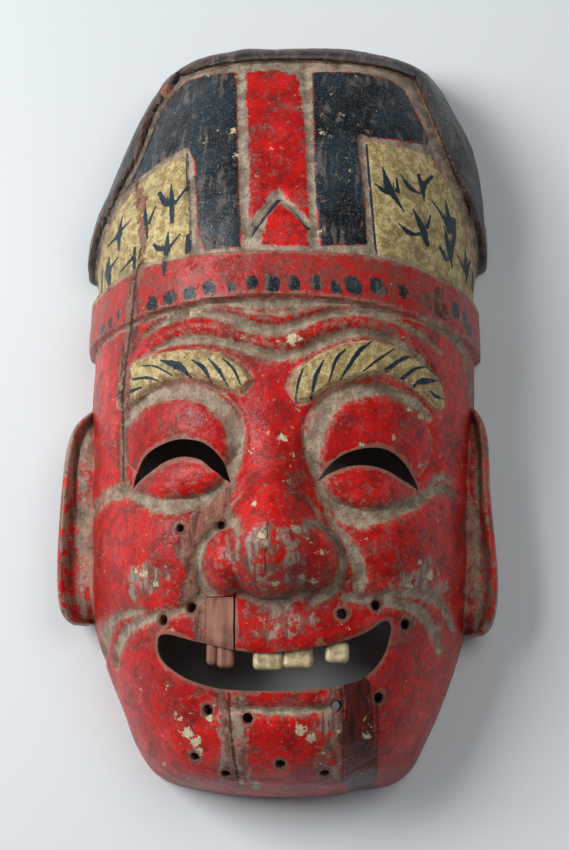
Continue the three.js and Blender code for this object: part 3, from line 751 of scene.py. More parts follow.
# Each opening as its upper and its lower edge in plan.
LEFT_SLIT = (
    [(-57, -36.5), (-51.4, -27.6), (-43, -22.3), (-35, -20.2), (-27, -22), (-20.5, -28), (-17, -37)],
    [(-57, -36.5), (-50, -32), (-43, -28), (-36, -26.6), (-29, -28), (-24, -32), (-17, -37)],
)
RIGHT_SLIT = (
    [(16.5, -36), (21, -30.2), (27, -25.8), (34.7, -23.6), (42.5, -24.6), (49, -29), (55.5, -37)],
    [(16.5, -36), (22, -33), (29, -30.4), (36.5, -29.8), (43.5, -31.2), (49, -34), (55.5, -37)],
)
MOUTH = (
    [
        (-46, -98.5), (-45, -95.6), (-41, -94.9), (-30, -97.2), (-15, -100.6), (-3, -101.6), (10, -100.4),
        (25, -97.2), (36, -93), (41, -89.7), (43.8, -89.4), (44.9, -92),
    ],
    [
        (-46, -98.5), (-45, -102.4), (-41.5, -106.4), (-33, -111.6), (-20, -115.2), (-4, -116),
        (12, -115.4), (27, -113.2), (35.5, -109.6), (42, -101.5), (44.9, -92),
    ],
)
carve(mask, through_cut("left_slit", *LEFT_SLIT, EYE_EDGE), "DIFFERENCE")
carve(mask, through_cut("right_slit", *RIGHT_SLIT, EYE_EDGE), "DIFFERENCE")
carve(mask, through_cut("mouth_cut", *MOUTH, MOUTH_EDGE, steps=72), "DIFFERENCE")

for nostril in NOSTRILS:
    bpy.ops.object.select_all(action="DESELECT")
    bpy.ops.mesh.primitive_uv_sphere_add(segments=24, ring_count=14, radius=1.0)
    bpy.ops.object.mode_set(mode="EDIT")
    bpy.ops.transform.resize(value=Vector(NOSTRIL_SIZE) * MM)
    bpy.ops.transform.translate(value=into_frame(nostril))
    bpy.ops.object.mode_set(mode="OBJECT")
    bpy.context.object.data.materials.append(worn_wood)
    carve(mask, bpy.context.object, "DIFFERENCE")

# ---------------------------------------------------------------- the repair strip
# An old break in the upper lip is mended with a plain, unpainted strip of wood with two teeth of its own. It
# is carved to follow the lip, and glued from the front into a pocket cut for it.

STRIP_LEFT, STRIP_RIGHT = -26.2, -15.6
STRIP_TOP = -80.6
LIP_LINE = -106.0
TOOTH_ROOT = -97.0
TOOTH_THICK = 6.0
STRIP_TEETH = (
    ("strip_tooth_a", (STRIP_LEFT, -22.0), -106.2),
    ("strip_tooth_b", (-22.3, STRIP_RIGHT), -107.2),
)
STRIP_TEETH_FRONT = 71.5


def upright_box(name, across, foot, top, low=SHELL_LOW, high=SHELL_HIGH):
    """A box between two x values, two y values and two heights."""
    bpy.ops.object.select_all(action="DESELECT")
    bpy.ops.mesh.primitive_cube_add(size=1.0)
    made = bpy.context.object
    made.name = name
    bpy.ops.object.mode_set(mode="EDIT")
    bpy.ops.transform.resize(value=((across[1] - across[0]) * MM, (top - foot) * MM, (high - low) * MM))
    bpy.ops.transform.translate(value=into_frame((sum(across) / 2, (top + foot) / 2, (low + high) / 2)))
    bpy.ops.object.mode_set(mode="OBJECT")
    made.data.materials.append(worn_wood)
    return made


def tooth(name, across, tip, front, finish):
    """A tooth with worn, rounded corners, rooted in the lip."""
    made = upright_box(name, across, tip, TOOTH_ROOT, front - TOOTH_THICK, front)
    rounding = made.modifiers.new("worn corners", "BEVEL")
    rounding.width = 2.0 * MM
    rounding.segments = 5
    rounding.limit_method = "NONE"
    bpy.context.view_layer.objects.active = made
    bpy.ops.object.modifier_apply(modifier=rounding.name)
    made.data.materials[0] = finish
    return made


def finish_mesh(made):
    """Smooth faces with the carved and cut edges kept sharp."""
    bpy.ops.object.select_all(action="DESELECT")
    made.select_set(True)
    bpy.context.view_layer.objects.active = made
    bpy.ops.object.mode_set(mode="EDIT")
    bpy.ops.mesh.select_all(action="SELECT")
    bpy.ops.mesh.quads_convert_to_tris()
    bpy.ops.mesh.select_all(action="DESELECT")
    bpy.ops.object.mode_set(mode="OBJECT")
    bpy.ops.object.shade_smooth_by_angle(angle=math.radians(38))


strip = mask.copy()
strip.data = mask.data.copy()
strip.name = "lip_strip"
bpy.context.scene.collection.objects.link(strip)
carve(strip, upright_box("strip_outline", (STRIP_LEFT, STRIP_RIGHT), LIP_LINE, STRIP_TOP), "INTERSECT")
for name, across, tip in STRIP_TEETH:
    carve(strip, tooth(name, across, tip, STRIP_TEETH_FRONT, worn_wood), "UNION")
finish_mesh(strip)
for place in range(len(strip.data.materials)):
    strip.data.materials[place] = worn_wood

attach(strip, "root")
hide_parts("lip_patch")

# ---------------------------------------------------------------- the strip's pocket and the mask's own teeth
# Two teeth in the middle of the upper lip and one on the right are carved with the mask, and once were gilt.
# The pocket beside them leaves the strip a fine joint on its left and top, and an open crack on its right.

FIT_GAP = 0.3
CRACK = 0.7
MASK_TEETH = (
    ("middle_tooth_a", (-8.3, 3.5), -108.0, 72.0),
    ("middle_tooth_b", (3.2, 14.9), -107.4, 72.0),
    ("right_tooth", (19.4, 28.6), -105.0, 71.0),
)

gilt, gilt_tree, gilt_surface = fresh_material("old_gilt")
rubbed = speckle(gilt_tree, 320.0, 4.0, 0.65)
old_gold = mottle((204, 190, 152), rubbed, 0.35, 0.65, (150, 130, 96))
gilt_tree.links.new(old_gold, gilt_surface.inputs["Base Color"])
gilt_surface.inputs["Roughness"].default_value = 0.42
gilt_surface.inputs["Metallic"].default_value = 0.15
gilt_bump = add_node(gilt_tree, "ShaderNodeBump", {"Height": rubbed, "Strength": 0.6, "Distance": 0.4 * MM})
gilt_tree.links.new(gilt_bump.outputs["Normal"], gilt_surface.inputs["Normal"])

mask.data.materials.append(gilt)
for name, across, tip, front in MASK_TEETH:
    carve(mask, tooth(name, across, tip, front, gilt), "UNION")
pocket_across = (STRIP_LEFT - FIT_GAP / 2, STRIP_RIGHT + CRACK)
carve(mask, upright_box("pocket", pocket_across, LIP_LINE + 2, STRIP_TOP + FIT_GAP), "DIFFERENCE")

# ---------------------------------------------------------------- beard holes
# The beard and moustache were tufts of hair pegged into small holes drilled in the wood round the mouth. The
# hair is gone. The lowest holes in the chin lean with its curve.

HOLE_RADIUS = 1.85
HOLE_DEPTH = 12.0
MOST_LEAN = 0.5  # radians
BEARD_HOLES = [
    (-32, -84.4), (-43.5, -88.6), (26, -86.7), (39, -83), (50.3, -89.3), (-26, -122.8), (-10.4, -126.2),
    (24, -121), (40, -117.5), (-31.7, -140.5), (-19.6, -147), (2, -143.3), (19, -146.5), (-36.4, -54.4),
    (-20.6, -53.2),
]
flat_net = net.reshape(-1, 3)
for x, y in BEARD_HOLES:
    nearest = np.argmin(np.hypot(flat_net[:, 0] - x, flat_net[:, 1] - y) - (flat_net[:, 2] > 30))
    side_lean = max(-MOST_LEAN, min(MOST_LEAN, x * 0.4 / HALF_FACE))
    chin_lean = max(0.0, min(MOST_LEAN, (-y - 118) / 60))
    radius = HOLE_RADIUS * (0.85 if y > -60 else 1.1)
    bpy.ops.object.select_all(action="DESELECT")
    bpy.ops.mesh.primitive_cylinder_add(vertices=20, radius=radius * MM, depth=2 * HOLE_DEPTH * MM)
    drill = bpy.context.object
    turned = Matrix.Rotation(side_lean, 4, "Y") @ Matrix.Rotation(chin_lean, 4, "X")
    drill.data.transform(Matrix.Translation(into_frame((x, y, flat_net[nearest, 2]))) @ turned)
    drill.data.materials.append(worn_wood)
    carve(mask, drill, "DIFFERENCE")
finish_mesh(mask)

# ---------------------------------------------------------------- what is painted where
# The painter laid flat areas of red, navy and gold on a cream ground, and drew dots and strokes with a brush.
# Every corner of the mesh learns how far it lies, in millimetres, from the edge of each such area, from the
# nearest stroke and from each dirty groove, so that the paint follows the carving.

RED_FIELDS = [
    # the middle strip, above and under its pointed arch
    [
        (-14.3, 136.3), (-2.3, 137.2), (7.0, 134.5), (8.9, 120), (10.3, 108.4), (12.2, 78.1), (12.6, 68),
        (8.6, 71), (0.5, 79.8), (-4.7, 75.2), (-9.6, 68), (-11.3, 68), (-11.5, 98.8), (-13.6, 119.8),
    ],
    [(0.8, 74.4), (-4, 67), (-6.3, 56.2), (12.6, 55.6), (11.6, 64), (5.1, 71.2)],
]
NAVY_FIELDS = [
    [
        (-39.3, 136.5), (-18.6, 136.2), (-17.4, 120.3), (-14.9, 72.7), (-14, 55.5), (-28.5, 55),
        (-31.2, 64.3), (-33.6, 93.8), (-36.8, 102.3), (-46.9, 98.4), (-58.5, 93.2), (-65.5, 88.5),
        (-58.5, 104), (-53, 117.5), (-46.5, 131.5),
    ],
    [
        (12.9, 135.5), (31, 136.6), (44.5, 134.6), (50.4, 131), (60, 110.2), (59.6, 106.4), (46.5, 105.8),
        (31.3, 104.4), (31.8, 97), (34.2, 79.4), (35.2, 57.9), (17, 56), (14.8, 84.1),
    ],
]
GOLD_FIELDS = [
    # hat panels and brows
    [
        (-38.1, 98.3), (-44.3, 96.4), (-51.9, 93.2), (-58, 90.5), (-65, 83), (-70, 76.5), (-77.5, 66),
        (-84, 58), (-88, 46), (-77, 44.5), (-70, 47.5), (-53.4, 50.9), (-34.4, 52.6), (-35, 74),
        (-36.5, 87.5),
    ],
    [
        (35, 103.4), (45, 102.9), (61.5, 101.8), (68.5, 90.5), (75, 76), (79.5, 64), (88, 57), (90, 44),
        (79, 44.5), (74.8, 47.6), (60.1, 50.2), (39.3, 53.6), (38, 64), (37, 76), (36, 88),
    ],
    BROW_LEFT,
    BROW_RIGHT,
]
# Where the paint has gone down to the wood.
BARE_FIELDS = [
    # down the left side of the nose to the lip
    [
        (-12.5, -32.5), (-14, -37), (-16, -43), (-17.5, -48.6), (-15, -50.5), (-21.5, -55.5),
        (-27.5, -62.7), (-29.2, -71.4), (-26.5, -79.3), (-26.4, -102), (-31.5, -100), (-32, -90),
        (-37, -82), (-34, -72), (-39, -62), (-37, -56), (-33, -47.5), (-26, -43.5), (-20.5, -39.5),
        (-17.5, -34.5),
    ],
    # spots on the headband and the hat
    [(51.9, 38.5), (57.8, 42.4), (64.9, 44.8), (67.1, 38.9), (67.1, 33.5), (60.4, 35.1)],
    [(-50.5, 131), (-46.5, 131), (-45.5, 136.5), (-49.5, 138)],
]
BARE_LINES = [
    # down the hat and the forehead
    [
        (-59, 93, .9), (-56.3, 82.3, 1.4), (-55.1, 71.8, 1.4), (-54, 59, 1.5), (-55.1, 49.8, 2.0),
        (-57.2, 43, 2.6), (-58, 32.5, 3.2), (-59.5, 24.3, 3.2), (-61.5, 15.9, 2.6), (-61.3, 6.4, 2.4),
        (-60.5, -2.6, 2.6), (-61.4, -11.7, 2.0), (-61.8, -21.2, 1.8), (-61, -34, 1.6),
    ],
    # down the chin
    [(-21, -116, 2.2), (-18.5, -130, 2.0), (-15.5, -148, 2.2)],
    [(22.6, -114, 1.2), (25, -126, 1.6), (24.6, -140, 1.2)],
]
# Fine open cracks along the grain.
CRACKS = [
    # nose
    [(-1.5, -55, .2), (-2, -64, .3), (-2.5, -73, .2)],
    # chin
    [(-17.5, -117, .25), (-17, -130, .35), (-14.5, -151, .3)],
    [(25.6, -114, .3), (26.4, -128, .4), (26, -149, .4)],
    [(38.6, -114, .3), (39.6, -128, .4), (38.8, -148, .4)],
    # forehead and hat
    [
        (-61, -33, .3), (-61.5, -15, .3), (-61.6, 0, .4), (-60.4, 15, .4), (-58.4, 30, .4), (-57, 44, .3),
        (-55.4, 60, .2),
    ],
    # above the repair strip
    [(-14.9, -80.5, .3), (-14.6, -76, .2)],
]
FILLED_LINES = [
    [(32, -114, 5), (32.6, -122, 5.6), (32.6, -136, 6), (33, -149, 6)],
]
# Rubbed through the red to grey and brown.
WORN_FIELDS = [
    # tip of the nose and under it
    [
        (-11.6, -58.1), (-6.8, -56), (1.9, -56.1), (10.9, -61.9), (13.3, -66), (11.4, -69.4), (2, -72.6),
        (-1, -76.5), (-7.9, -76.7), (-14.2, -72), (-19.1, -68.9), (-16.7, -61.4),
    ],
    [(-12, -77), (0, -76), (14, -73), (17, -78), (10, -86), (-2, -88), (-12, -83)],
    # upper lip
    [(-14, -84), (-8, -86), (4, -87), (14, -84), (17, -90), (10, -96), (-2, -98), (-10, -96), (-13, -92)],
    # right cheek
    [(45, -72), (60, -64), (68, -74), (60, -80), (46, -79)],
    # ears
    [(-92, 4), (-79.6, 4), (-79.6, -92), (-92, -92)],
    [(92, 6), (80.4, 6), (80.4, -94), (92, -94)],
    # chin
    [(-25, -117), (-11, -117), (-10, -150), (-22, -152)],
    [(17, -112), (25, -112), (26, -150), (18, -150)],
    # left cheek
    [(-60, -70), (-48, -66), (-38, -72), (-42, -80), (-56, -80)],
]
# The dark dots of the headband: x, y, half width, half height, lean in degrees.
HEADBAND_DOTS = [
    (-49.3, 35.4, 1.9, 2.8, 8), (-41.8, 36.5, 2.4, 2.5, 0), (-33.7, 37.5, 2.0, 2.2, 0),
    (-25.8, 38.9, 2.1, 3.0, 10), (-17.4, 38.8, 1.6, 2.0, 15), (-9.4, 40.4, 2.1, 2.6, 15),
    (-1.4, 40.0, 2.4, 3.0, 10), (6.9, 40.1, 2.0, 3.0, 15), (15.5, 40.2, 1.8, 2.9, 15),
    (23.4, 38.6, 1.6, 2.5, 30), (30.1, 40.1, 2.6, 3.4, 30), (39.5, 40.6, 2.5, 3.1, 30),
    (49.5, 40.2, 1.6, 2.4, 30), (-64.6, 35, 0.9, 1.8, 5), (-68.1, 32.5, 1.0, 2.6, 8),
    (-72, 30.1, 0.9, 2.5, 5), (70.9, 38.8, 1.3, 3.4, 5), (74.9, 36, 0.9, 2.9, 0),
    (76.8, 32.7, 0.8, 2.8, 0),
]
# Brush strokes of the hat, the brows and the hat's thin lines, as (x, y, half width).
STROKES = [
    # left gold panel
    [(-43, 85, .3), (-42.5, 78, 1.3), (-42, 69.5, .9)],
    [(-47.5, 82, .9), (-45, 77.5, 1.5), (-42.5, 76.5, .8)], [(-40.5, 77.5, .6), (-37, 82.5, .5)],
    [(-54, 79, .3), (-53.5, 72.5, 1.0), (-52.5, 64.5, .5)], [(-51.5, 71, .7), (-49.5, 76.5, .3)],
    [(-43.5, 64, .4), (-44, 58, 1.1), (-44.5, 50.5, 1.1), (-44.5, 47, .6)],
    [(-43.5, 57.5, .9), (-39, 62.5, .3)], [(-49, 60, .6), (-47.5, 58.5, 1.1), (-45, 57.5, .4)],
    [(-64.5, 77, .3), (-65.5, 70, 1.1), (-65.5, 63.5, .4)], [(-65, 70.5, .8), (-61, 73.5, .3)],
    [(-65.5, 69.5, 1.1), (-70.5, 67.5, .5)], [(-35.5, 61, .8), (-35.5, 55.5, .8)],
    [(-58, 60.5, .6), (-58, 52, .8)], [(-63.5, 54, .4), (-59, 57, .7)],
    [(-70.5, 61.5, .4), (-71, 56.5, 1.5), (-69.5, 47.5, .6)], [(-70, 57, 1.0), (-66.5, 59.5, .4)],
    [(-74.5, 59, .4), (-75, 47.5, .6)],
    # right gold panel
    [(41.5, 91.5, .3), (44, 83.5, 1.6), (49.5, 74.5, .3)], [(39, 84, .3), (41.5, 82, 1.0), (44, 80.5, .5)],
    [(47, 87.5, .4), (47.5, 83, .8)], [(49, 89.5, .3), (52.5, 85, 1.1), (56.5, 83.5, .3)],
    [(56, 91, .7), (57.5, 86, 1.1), (58, 81.5, .3)], [(57.5, 87, 1.1), (61, 92, .7)],
    [(54, 75, .4), (57, 69, 1.5), (59, 63, 1.0)], [(48.5, 68, .3), (52, 65.5, 1.1), (56, 65.5, .3)],
    [(60.5, 74.5, .4), (59.5, 70, .6)], [(62, 81, .3), (66, 76, .8), (68.5, 71.5, .9)],
    [(67, 83, .3), (68, 77.5, 1.0), (68.5, 71.5, .8)], [(70.5, 76.5, .7), (70.5, 72.5, 1.0)],
    [(66.5, 71.5, .4), (68, 64.5, 1.2), (69.5, 57.5, .4)], [(65, 62, .8), (66.5, 59.5, .9)],
    [(70.5, 70, .8), (69.5, 62, .6)], [(72.5, 62, .4), (75, 58.5, .7)],
    [(75.5, 65.5, .4), (76, 60.5, 1.2), (76, 55.5, .4)], [(77.5, 63.5, .3), (76.5, 59.5, .6)],
    [(79, 60.5, .4), (79, 55.5, .5)],
    # hairs of the right brow
    [(10.5, 6, .5), (9, 1, .5), (8, -5.5, .4)],
    [(18.5, 9.5, .3), (16, 4.5, .9), (14.5, -2, .5), (14, -4, .6)],
    [(26.5, 14, .4), (23.5, 10.5, .7), (21, 2.5, .3)],
    [(37, 18.5, .4), (32.5, 14.5, .9), (29, 9, .8), (25.5, 3.5, .3)],
    [(45.5, 16.5, .3), (39.5, 11.5, .5), (34.5, 7, .3)], [(54, 15, .3), (49.5, 13.5, .7), (43.5, 8.5, .9)],
    [(58.5, 12, .5), (54, 10, .6), (49.5, 6, .8)],
    [(63, 7.5, .3), (58, 6, 1.3), (55.5, 5, .9), (53, 2.5, .4)],
    [(61, 2, .5), (62.5, 1, .9), (65.5, 1, .3)],
    # hairs of the left brow
    [(-56.5, 6.5, .5), (-51, 6, .6), (-47, 4.5, .4)], [(-52.5, 11, .3), (-47.5, 10, .4), (-41, 6, .3)],
    [(-45, 12, .3), (-38, 9, 1.6), (-33, 4.5, .3)], [(-32, 10.5, .3), (-28, 7.5, .9), (-24.5, 1.5, .3)],
    [(-25.5, 10.5, .3), (-22, 6.5, .8), (-18.5, .5, .3)],
    [(-20, 10.5, .3), (-16, 6.5, .6), (-13.5, 1, .3)], [(-57.5, 2, .8), (-54, 2.5, .5)],
    [(-64, 2.5, .8), (-62, 3, .6)],
    # thin lines beside the panels
    [(-10, 61, .9), (-4.8, 68.6, 1.0), (.3, 75.4, 1.1)], [(3.5, 74, .3), (8, 69, .5), (11.8, 63.8, .8)],
    [(-37, 98, .5), (-36.2, 87.5, .7), (-34.8, 74, .5), (-33.8, 56, .6)],
    [(35, 101, .4), (36, 88, .5), (37, 76, .5), (38, 64, .5), (39, 54.5, .4)],
]
# Cream ground showing where the paint has flaked: x, y, radius.
CHIPS = [
    (6.2, 18.5, 2.6), (9, 18.2, 1.8), (.1, 17.4, 1.0), (-13.1, 19.1, .8), (-33, 30.1, 1.1),
    (-29.8, 30.7, .9), (-27.5, 46, .7), (51.9, 53.7, .9), (45.2, 42.7, .9), (3.5, -20.3, 1.6),
    (7, -26.8, 1.0), (6.4, -31, .6), (5.1, -38.1, .8), (52.1, -6.3, 1.1), (56.7, -7.7, 1.9),
    (56.2, -26.9, 1.3), (33.4, -22.6, 1.0), (45.8, -17.7, 1.1), (8.8, -57.4, 2.2), (-4, -60.1, 1.6),
    (13, -60.2, .8), (15.3, -62, .7), (18.9, -64.8, 1.3), (11, -74.4, 1.6), (15, -75.4, 1.2),
    (1.3, -77.2, 1.0), (-7, -47.2, 1.1), (-36.6, -9.6, 1.1), (-51, -71, 1.6), (-46, -75, 1.4),
    (-54, -69, 1.2), (-42, -70, 1.0), (60, -70, 1.5), (56, -66, 1.2), (52, -75, 1.2), (63.5, -98, 1.2),
    (-37, -127, 1.5), (-34, -131, 2.2), (-31, -135, 2.2), (-29, -138, 1.6), (-39, -124, .8),
    (10, -130, 2.2), (14, -133, 1.6), (24, -131, 1.1), (37, -128, 1.0), (36, -132, 1.3), (-25, -126, 1.0),
    (19, -139, 1.0), (-45, -143, .8), (-42, -113, 1.1), (-18.6, 134.5, 1.1), (-17.9, 107, 1.4),
    (-17.2, 95.5, 1.1), (-15.4, 74, 0.8), (17, 106, .9), (19.6, 104, .9), (16.6, 62, 1.2), (-8, -151, 2.2),
    (-14, -150, 1.6),
]
EAR_GROOVES = [
    # left ear
    [(-84.5, -6, .3), (-85.4, -20, .5), (-85.8, -34, .3)],
    [(-80.2, 0, .8), (-80.8, -20, 1.0), (-80.8, -40, 1.0), (-80.4, -60, 1.0), (-80, -84, 1.2)],
    # right ear
    [(81.4, -4, .3), (82, -20, .5), (82.4, -40, .3)],
    [(80, 2, .6), (80.2, -30, .8), (80.2, -60, 1.0), (80, -88, 1.2)],
]
FAR = 20.0


def nearest_line(points, lines, reach=FAR):
    """Distance beyond the edge of the nearest of some drawn lines: less than 0 on a line."""
    beyond = np.full(len(points), reach)
    for path in lines:
        near, off, _, half = trail(points, path, reach)
        beyond[near] = np.minimum(beyond[near], off - half)
    return beyond


def nearest_field(points, fields):
    return np.min([outside_of(points, outline) for outline in fields], axis=0)


def nearest_spot(x, y, spots):
    """Distance beyond the edge of the nearest of some round spots of (x, y, radius)."""
    return np.min([np.hypot(x - at_x, y - at_y) - radius for at_x, at_y, radius in spots], axis=0)


def corners_of(made, values):
    """One vector of a mesh's corners, as an array: where each stands, or which way it faces."""
    read = np.empty(len(made.data.vertices) * 3)
    made.data.vertices.foreach_get(values, read)
    return read.reshape(-1, 3)


def edge_curve(made, rounds=3):
    """How hollow (more than 0) or how proud (less) each corner stands, in millimetres."""
    co = corners_of(made, "co") / MM
    ends = np.empty(len(made.data.edges) * 2, int)
    made.data.edges.foreach_get("vertices", ends)
    a, b = ends.reshape(-1, 2).T
    links = np.bincount(np.concatenate([a, b]), minlength=len(co))[:, None]
    smooth = co.copy()
    for _ in range(rounds):
        total = np.zeros_like(smooth)
        for k in range(3):
            total[:, k] = np.bincount(a, smooth[b, k], len(co)) + np.bincount(b, smooth[a, k], len(co))
        smooth = total / np.maximum(links, 1)
    return ((smooth - co) * corners_of(made, "normal")).sum(axis=1)


def dots(x, y):
    """Distance beyond the edge of the nearest dot of the headband."""
    nearest = np.full(len(x), FAR)
    for dot_x, dot_y, half_width, half_height, slant in HEADBAND_DOTS:
        turn = math.radians(slant)
        u = ((x - dot_x) * math.cos(turn) + (y - dot_y) * math.sin(turn)) / half_width
        v = ((y - dot_y) * math.cos(turn) - (x - dot_x) * math.sin(turn)) / half_height
        nearest = np.minimum(nearest, (np.hypot(u, v) - 1.25) * min(half_width, half_height))
    return nearest


plan = corners_of(mask, "co")[:, :2] / MM - (ORIGIN_X, 0)
x, y = plan.T
red = nearest_field(plan, RED_FIELDS)
navy = nearest_field(plan, NAVY_FIELDS)
gold = nearest_field(plan, GOLD_FIELDS)
past = past_panel(x, y)
stroke_share, stroke_gap = np.full(len(plan), FAR), np.full(len(plan), FAR)
for path in STROKES:
    near, off, side, half = trail(plan, path, 6.0)
    closer = off - half < stroke_gap[near]
    stroke_gap[near[closer]] = (off - half)[closer]
    stroke_share[near[closer]] = (side / half)[closer]
dirty_lines = [path for _, path in FOLDS + EYE_HOLLOWS + SMALL_LINES] + EAR_GROOVES
on_ear = (np.abs(x) > 79.5) & (y < 8)
learned = {
    "gold": gold,
    "navy": np.minimum(navy, dots(x, y)),
    "channel": np.maximum(np.maximum(band_top(x) - y, past), -np.minimum(np.minimum(red, navy), gold)),
    "black": np.maximum(56.5 - y, -past - 1.5 * ease(10, -30, x) * ease(80, 110, y)),
    "bare": np.minimum(nearest_field(plan, BARE_FIELDS), nearest_line(plan, BARE_LINES)),
    "dirt": nearest_line(plan, dirty_lines),
    "chip": np.minimum(FAR, nearest_spot(x, y, CHIPS)),
    "hole": np.minimum(FAR, nearest_spot(x, y, [(*at, HOLE_RADIUS) for at in BEARD_HOLES])),
    "band": np.maximum(y - band_top(x), band_foot(x) - y),
    "stroke_share": stroke_share,
    "stroke_gap": stroke_gap,
    "worn": nearest_field(plan, WORN_FIELDS),
    "crack": nearest_line(plan, CRACKS, 6.0),
    "filled": nearest_line(plan, FILLED_LINES),
    "hollow": edge_curve(mask) * np.where(on_ear, 0.25, 1.0),
}
for name, values in learned.items():
    layer = mask.data.attributes.new(name, "FLOAT", "POINT")
    layer.data.foreach_set("value", np.asarray(values, np.float32))

# ---------------------------------------------------------------- the paint
# Red lacquer over a cream ground, with navy, dull gold and black on the hat, all brushed on. It is scratched,
# faded to pink on the high places, flaked to the ground in spots, worn to the wood along an old crack, and
# dirty in every groove.


def field(name):
    return add_node(tree, "ShaderNodeAttribute", {}, attribute_name=name).outputs["Fac"]


def arithmetic(operation, first, second):
    return add_node(tree, "ShaderNodeMath", {0: first, 1: second}, operation=operation).outputs["Value"]


def plus(first, second):
    return arithmetic("ADD", first, second)


def minus(first, second):
    return arithmetic("SUBTRACT", first, second)


def times(first, second):
    return arithmetic("MULTIPLY", first, second)


def larger(first, second):
    return arithmetic("MAXIMUM", first, second)


def tone(*settings, **places):
    return speckle(tree, *settings, **places)


wander = minus(tone(420.0, 4.0, 0.65), 0.5)
wander_fine = minus(tone(1100.0, 4.0, 0.7, offset=(0.6, 0.2, 0.3)), 0.5)
wander_wide = minus(tone(130.0, 4.0, 0.6, offset=(0.3, 0.1, 0.7)), 0.5)


def painted_area(name, ragged, softness, wide=0.0, grow=0.0, nibbled=1.5):
    """1 inside a painted field and 0 outside it, with an edge that wanders by some millimetres."""
    edge = plus(plus(field(name), times(wander, ragged)), times(wander_fine, nibbled))
    if wide:
        edge = plus(edge, times(wander_wide, wide))
    return step_between(edge, grow + softness, grow - softness)


fine_grain = tone(1500.0, 3.0, 0.6)
broad = tone(38.0, 3.0, 0.6)
middling = tone(150.0, 5.0, 0.65, offset=(0.2, 0.5, 0.1))
drawn = tone(330.0, 4.0, 0.65, stretch=(1.0, 0.14, 0.35))
patchy = tone(75.0, 6.0, 0.7, offset=(0.7, 0.3, 0.2))

# The red, from fresh to dark, faded, rubbed thin, scratched and soiled.
colour = mottle((206, 18, 16), broad, 0.4, 0.6, (172, 12, 12))
colour = mottle(colour, middling, 0.48, 0.62, (126, 14, 14), 0.7)
colour = mottle(colour, tone(60.0, 6.0, 0.7, offset=(0.9, 0.2, 0.4)), 0.52, 0.66, (214, 74, 70), 0.4)
colour = mottle(colour, tone(700.0, 5.0, 0.7), 0.53, 0.62, (110, 40, 34), 0.6)
worn_thin = times(step_between(patchy, 0.53, 0.63), step_between(tone(620.0, 6.0, 0.8), 0.47, 0.53))
colour = over(times(worn_thin, 0.8), colour, tint((132, 92, 80)))
scratches = step_between(tone(420.0, 6.0, 0.8, offset=(0.5, 0.8, 0.2)), 0.59, 0.63, 0.85)
colour = over(scratches, colour, tint((124, 100, 86)))
colour = mottle(colour, tone(190.0, 6.0, 0.75, offset=(0.8, 0.1, 0.6)), 0.53, 0.63, (92, 34, 30), 0.55)

band_red = mottle((176, 30, 28), middling, 0.42, 0.6, (142, 62, 54))
band_red = mottle(band_red, tone(520.0, 6.0, 0.8), 0.52, 0.6, (120, 84, 74), 0.7)
colour = over(times(painted_area("band", 1.0, 0.6), 0.8), colour, band_red)

# The hat: beige channels, navy panels, gold panels and brows, and the black border.
beige = mottle((172, 156, 136), middling, 0.4, 0.6, (126, 108, 94))
beige = mottle(beige, fine_grain, 0.45, 0.65, (104, 84, 74), 0.6)
colour = over(painted_area("channel", 4.5, 0.5, 2.0, 0.1), colour, beige)

navy_blue = mottle((26, 44, 54), broad, 0.4, 0.6, (13, 22, 28))
navy_blue = mottle(navy_blue, middling, 0.5, 0.62, (64, 66, 68), 0.3)
rubbed_blue = times(step_between(patchy, 0.44, 0.6), step_between(drawn, 0.5, 0.58))
navy_blue = over(times(rubbed_blue, 0.58), navy_blue, tint((124, 112, 104)))
navy_blue = mottle(navy_blue, fine_grain, 0.56, 0.64, (120, 112, 106), 0.5)
colour = over(painted_area("navy", 3.4, 0.35, 1.6), colour, navy_blue)

gold_paint = mottle((206, 186, 134), tone(300.0, 5.0, 0.7), 0.42, 0.58, (160, 138, 88))
gold_paint = mottle(gold_paint, patchy, 0.5, 0.62, (142, 124, 92), 0.6)
gold_paint = mottle(gold_paint, fine_grain, 0.52, 0.62, (98, 78, 50), 0.6)
gold_area = painted_area("gold", 2.4, 0.25, 0.9)
colour = over(gold_area, colour, gold_paint)

soot = mottle((17, 16, 18), middling, 0.42, 0.6, (38, 35, 36))
soot = mottle(soot, tone(260.0, 5.0, 0.7, stretch=(1.0, 0.2, 0.2)), 0.54, 0.62, (104, 88, 80), 0.6)
black_area = painted_area("black", 1.4, 0.4, 0.8)
colour = over(black_area, colour, soot)

across_stroke = plus(arithmetic("ABSOLUTE", field("stroke_share"), 0.0), times(wander, 1.2))
stroke = times(step_between(across_stroke, 1.12, 0.88), step_between(field("stroke_gap"), 0.8, 0.45))
colour = over(stroke, colour, tint((26, 44, 54)))

# Wear down to the wood, then the dirt that has lodged in the grooves.
raw = mottle((146, 96, 80), drawn, 0.42, 0.6, (96, 54, 46))
raw = mottle(raw, middling, 0.48, 0.62, (148, 120, 104), 0.7)
raw = mottle(raw, fine_grain, 0.54, 0.62, (92, 40, 34), 0.5)
worn_area = times(painted_area("worn", 6.0, 1.2, 16.0, -0.5), step_between(middling, 0.42, 0.52))
colour = over(worn_area, colour, mottle((152, 132, 118), drawn, 0.44, 0.56, (122, 76, 64)))
bare_area = painted_area("bare", 7.0, 0.5, 9.0)
colour = over(bare_area, colour, raw)

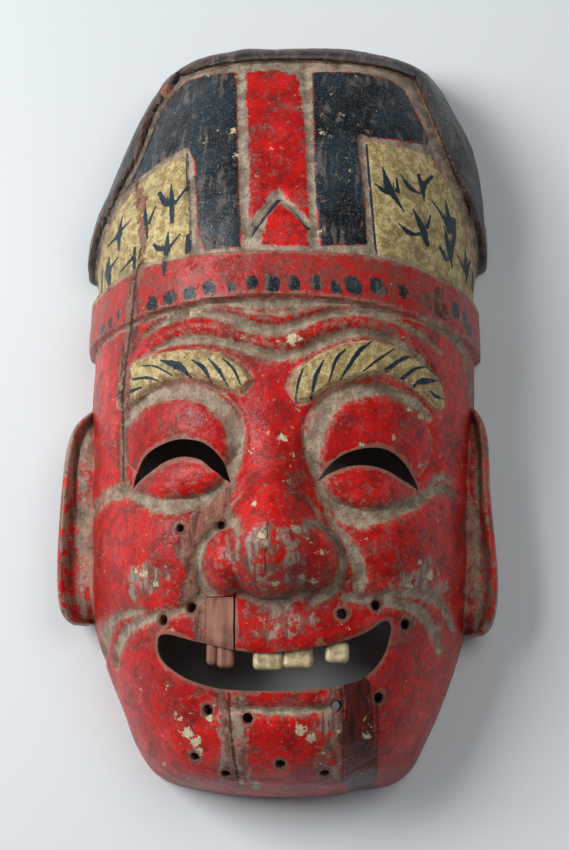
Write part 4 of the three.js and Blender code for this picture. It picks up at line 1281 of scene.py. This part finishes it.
hollow_field = field("hollow")
lodged = step_between(plus(hollow_field, times(wander, 0.5)), 0.07, 0.2, 0.65)
colour = over(lodged, colour, beige)
grime = mottle((172, 160, 138), middling, 0.4, 0.6, (134, 118, 100))
grime = mottle(grime, drawn, 0.5, 0.62, (132, 92, 80), 0.4)
grime = mottle(grime, fine_grain, 0.5, 0.62, (96, 80, 68), 0.5)
dirt_broken = step_between(tone(560.0, 6.0, 0.8, offset=(0.4, 0.4, 0.4)), 0.46, 0.56)
dirt_halo = times(painted_area("dirt", 4.0, 1.6, 4.0, 1.1), dirt_broken)
colour = over(times(dirt_halo, 0.75), colour, grime)
dirt_area = painted_area("dirt", 3.0, 0.7, 2.2)
colour = over(times(dirt_area, 0.92), colour, grime)

proud = step_between(plus(hollow_field, times(wander, 2.2)), -0.36, -0.46, 0.75)
proud = times(proud, minus(1.0, times(black_area, 0.7)))
colour = over(proud, colour, tint((146, 104, 88)))
hole_rim = plus(field("hole"), times(plus(wander, wander_wide), 4.0))
colour = mottle(colour, hole_rim, 1.4, 0.2, (92, 62, 52), 0.75)

# The filled repair lines, the cracks, and the flaked spots that show the cream ground.
filled_area = painted_area("filled", 1.6, 0.4, 3.6)
colour = over(filled_area, colour, mottle((96, 32, 24), drawn, 0.42, 0.58, (58, 20, 15)))
crack_area = step_between(plus(field("crack"), times(wander, 2.2)), 0.24, 0.04)
colour = over(times(crack_area, 0.8), colour, tint((52, 30, 24)))
chip_area = painted_area("chip", 6.0, 0.16, 4.0, -0.35, 5.0)
colour = over(chip_area, colour, mottle((214, 200, 166), fine_grain, 0.35, 0.65, (178, 160, 128)))
colour = mottle(colour, tone(300.0, 6.0, 0.8, offset=(0.1, 0.6, 0.9)), 0.645, 0.66, (206, 192, 160))
tree.links.new(colour, paint.inputs["Base Color"])

unpainted = larger(bare_area, chip_area)
gloss = plus(0.36, times(larger(larger(dirt_area, lodged), unpainted), 0.42))
gloss = plus(gloss, times(gold_area, 0.15))
gloss = minus(gloss, times(filled_area, 0.1))
gloss = plus(gloss, times(wander_wide, 0.25))
tree.links.new(gloss, paint.inputs["Roughness"])
paint.inputs["Specular IOR Level"].default_value = 0.32

texture = plus(minus(1.0, times(unpainted, 0.7)), times(wander, 0.8))
texture = plus(texture, times(minus(fine_grain, 0.5), plus(0.12, times(gold_area, 0.5))))
texture = minus(texture, times(larger(scratches, worn_thin), 0.4))
texture = minus(texture, times(crack_area, 0.8))
bump = add_node(tree, "ShaderNodeBump", {"Height": texture, "Strength": 0.8, "Distance": 0.6 * MM})
tree.links.new(bump.outputs["Normal"], paint.inputs["Normal"])

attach(mask, "root")
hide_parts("mask")
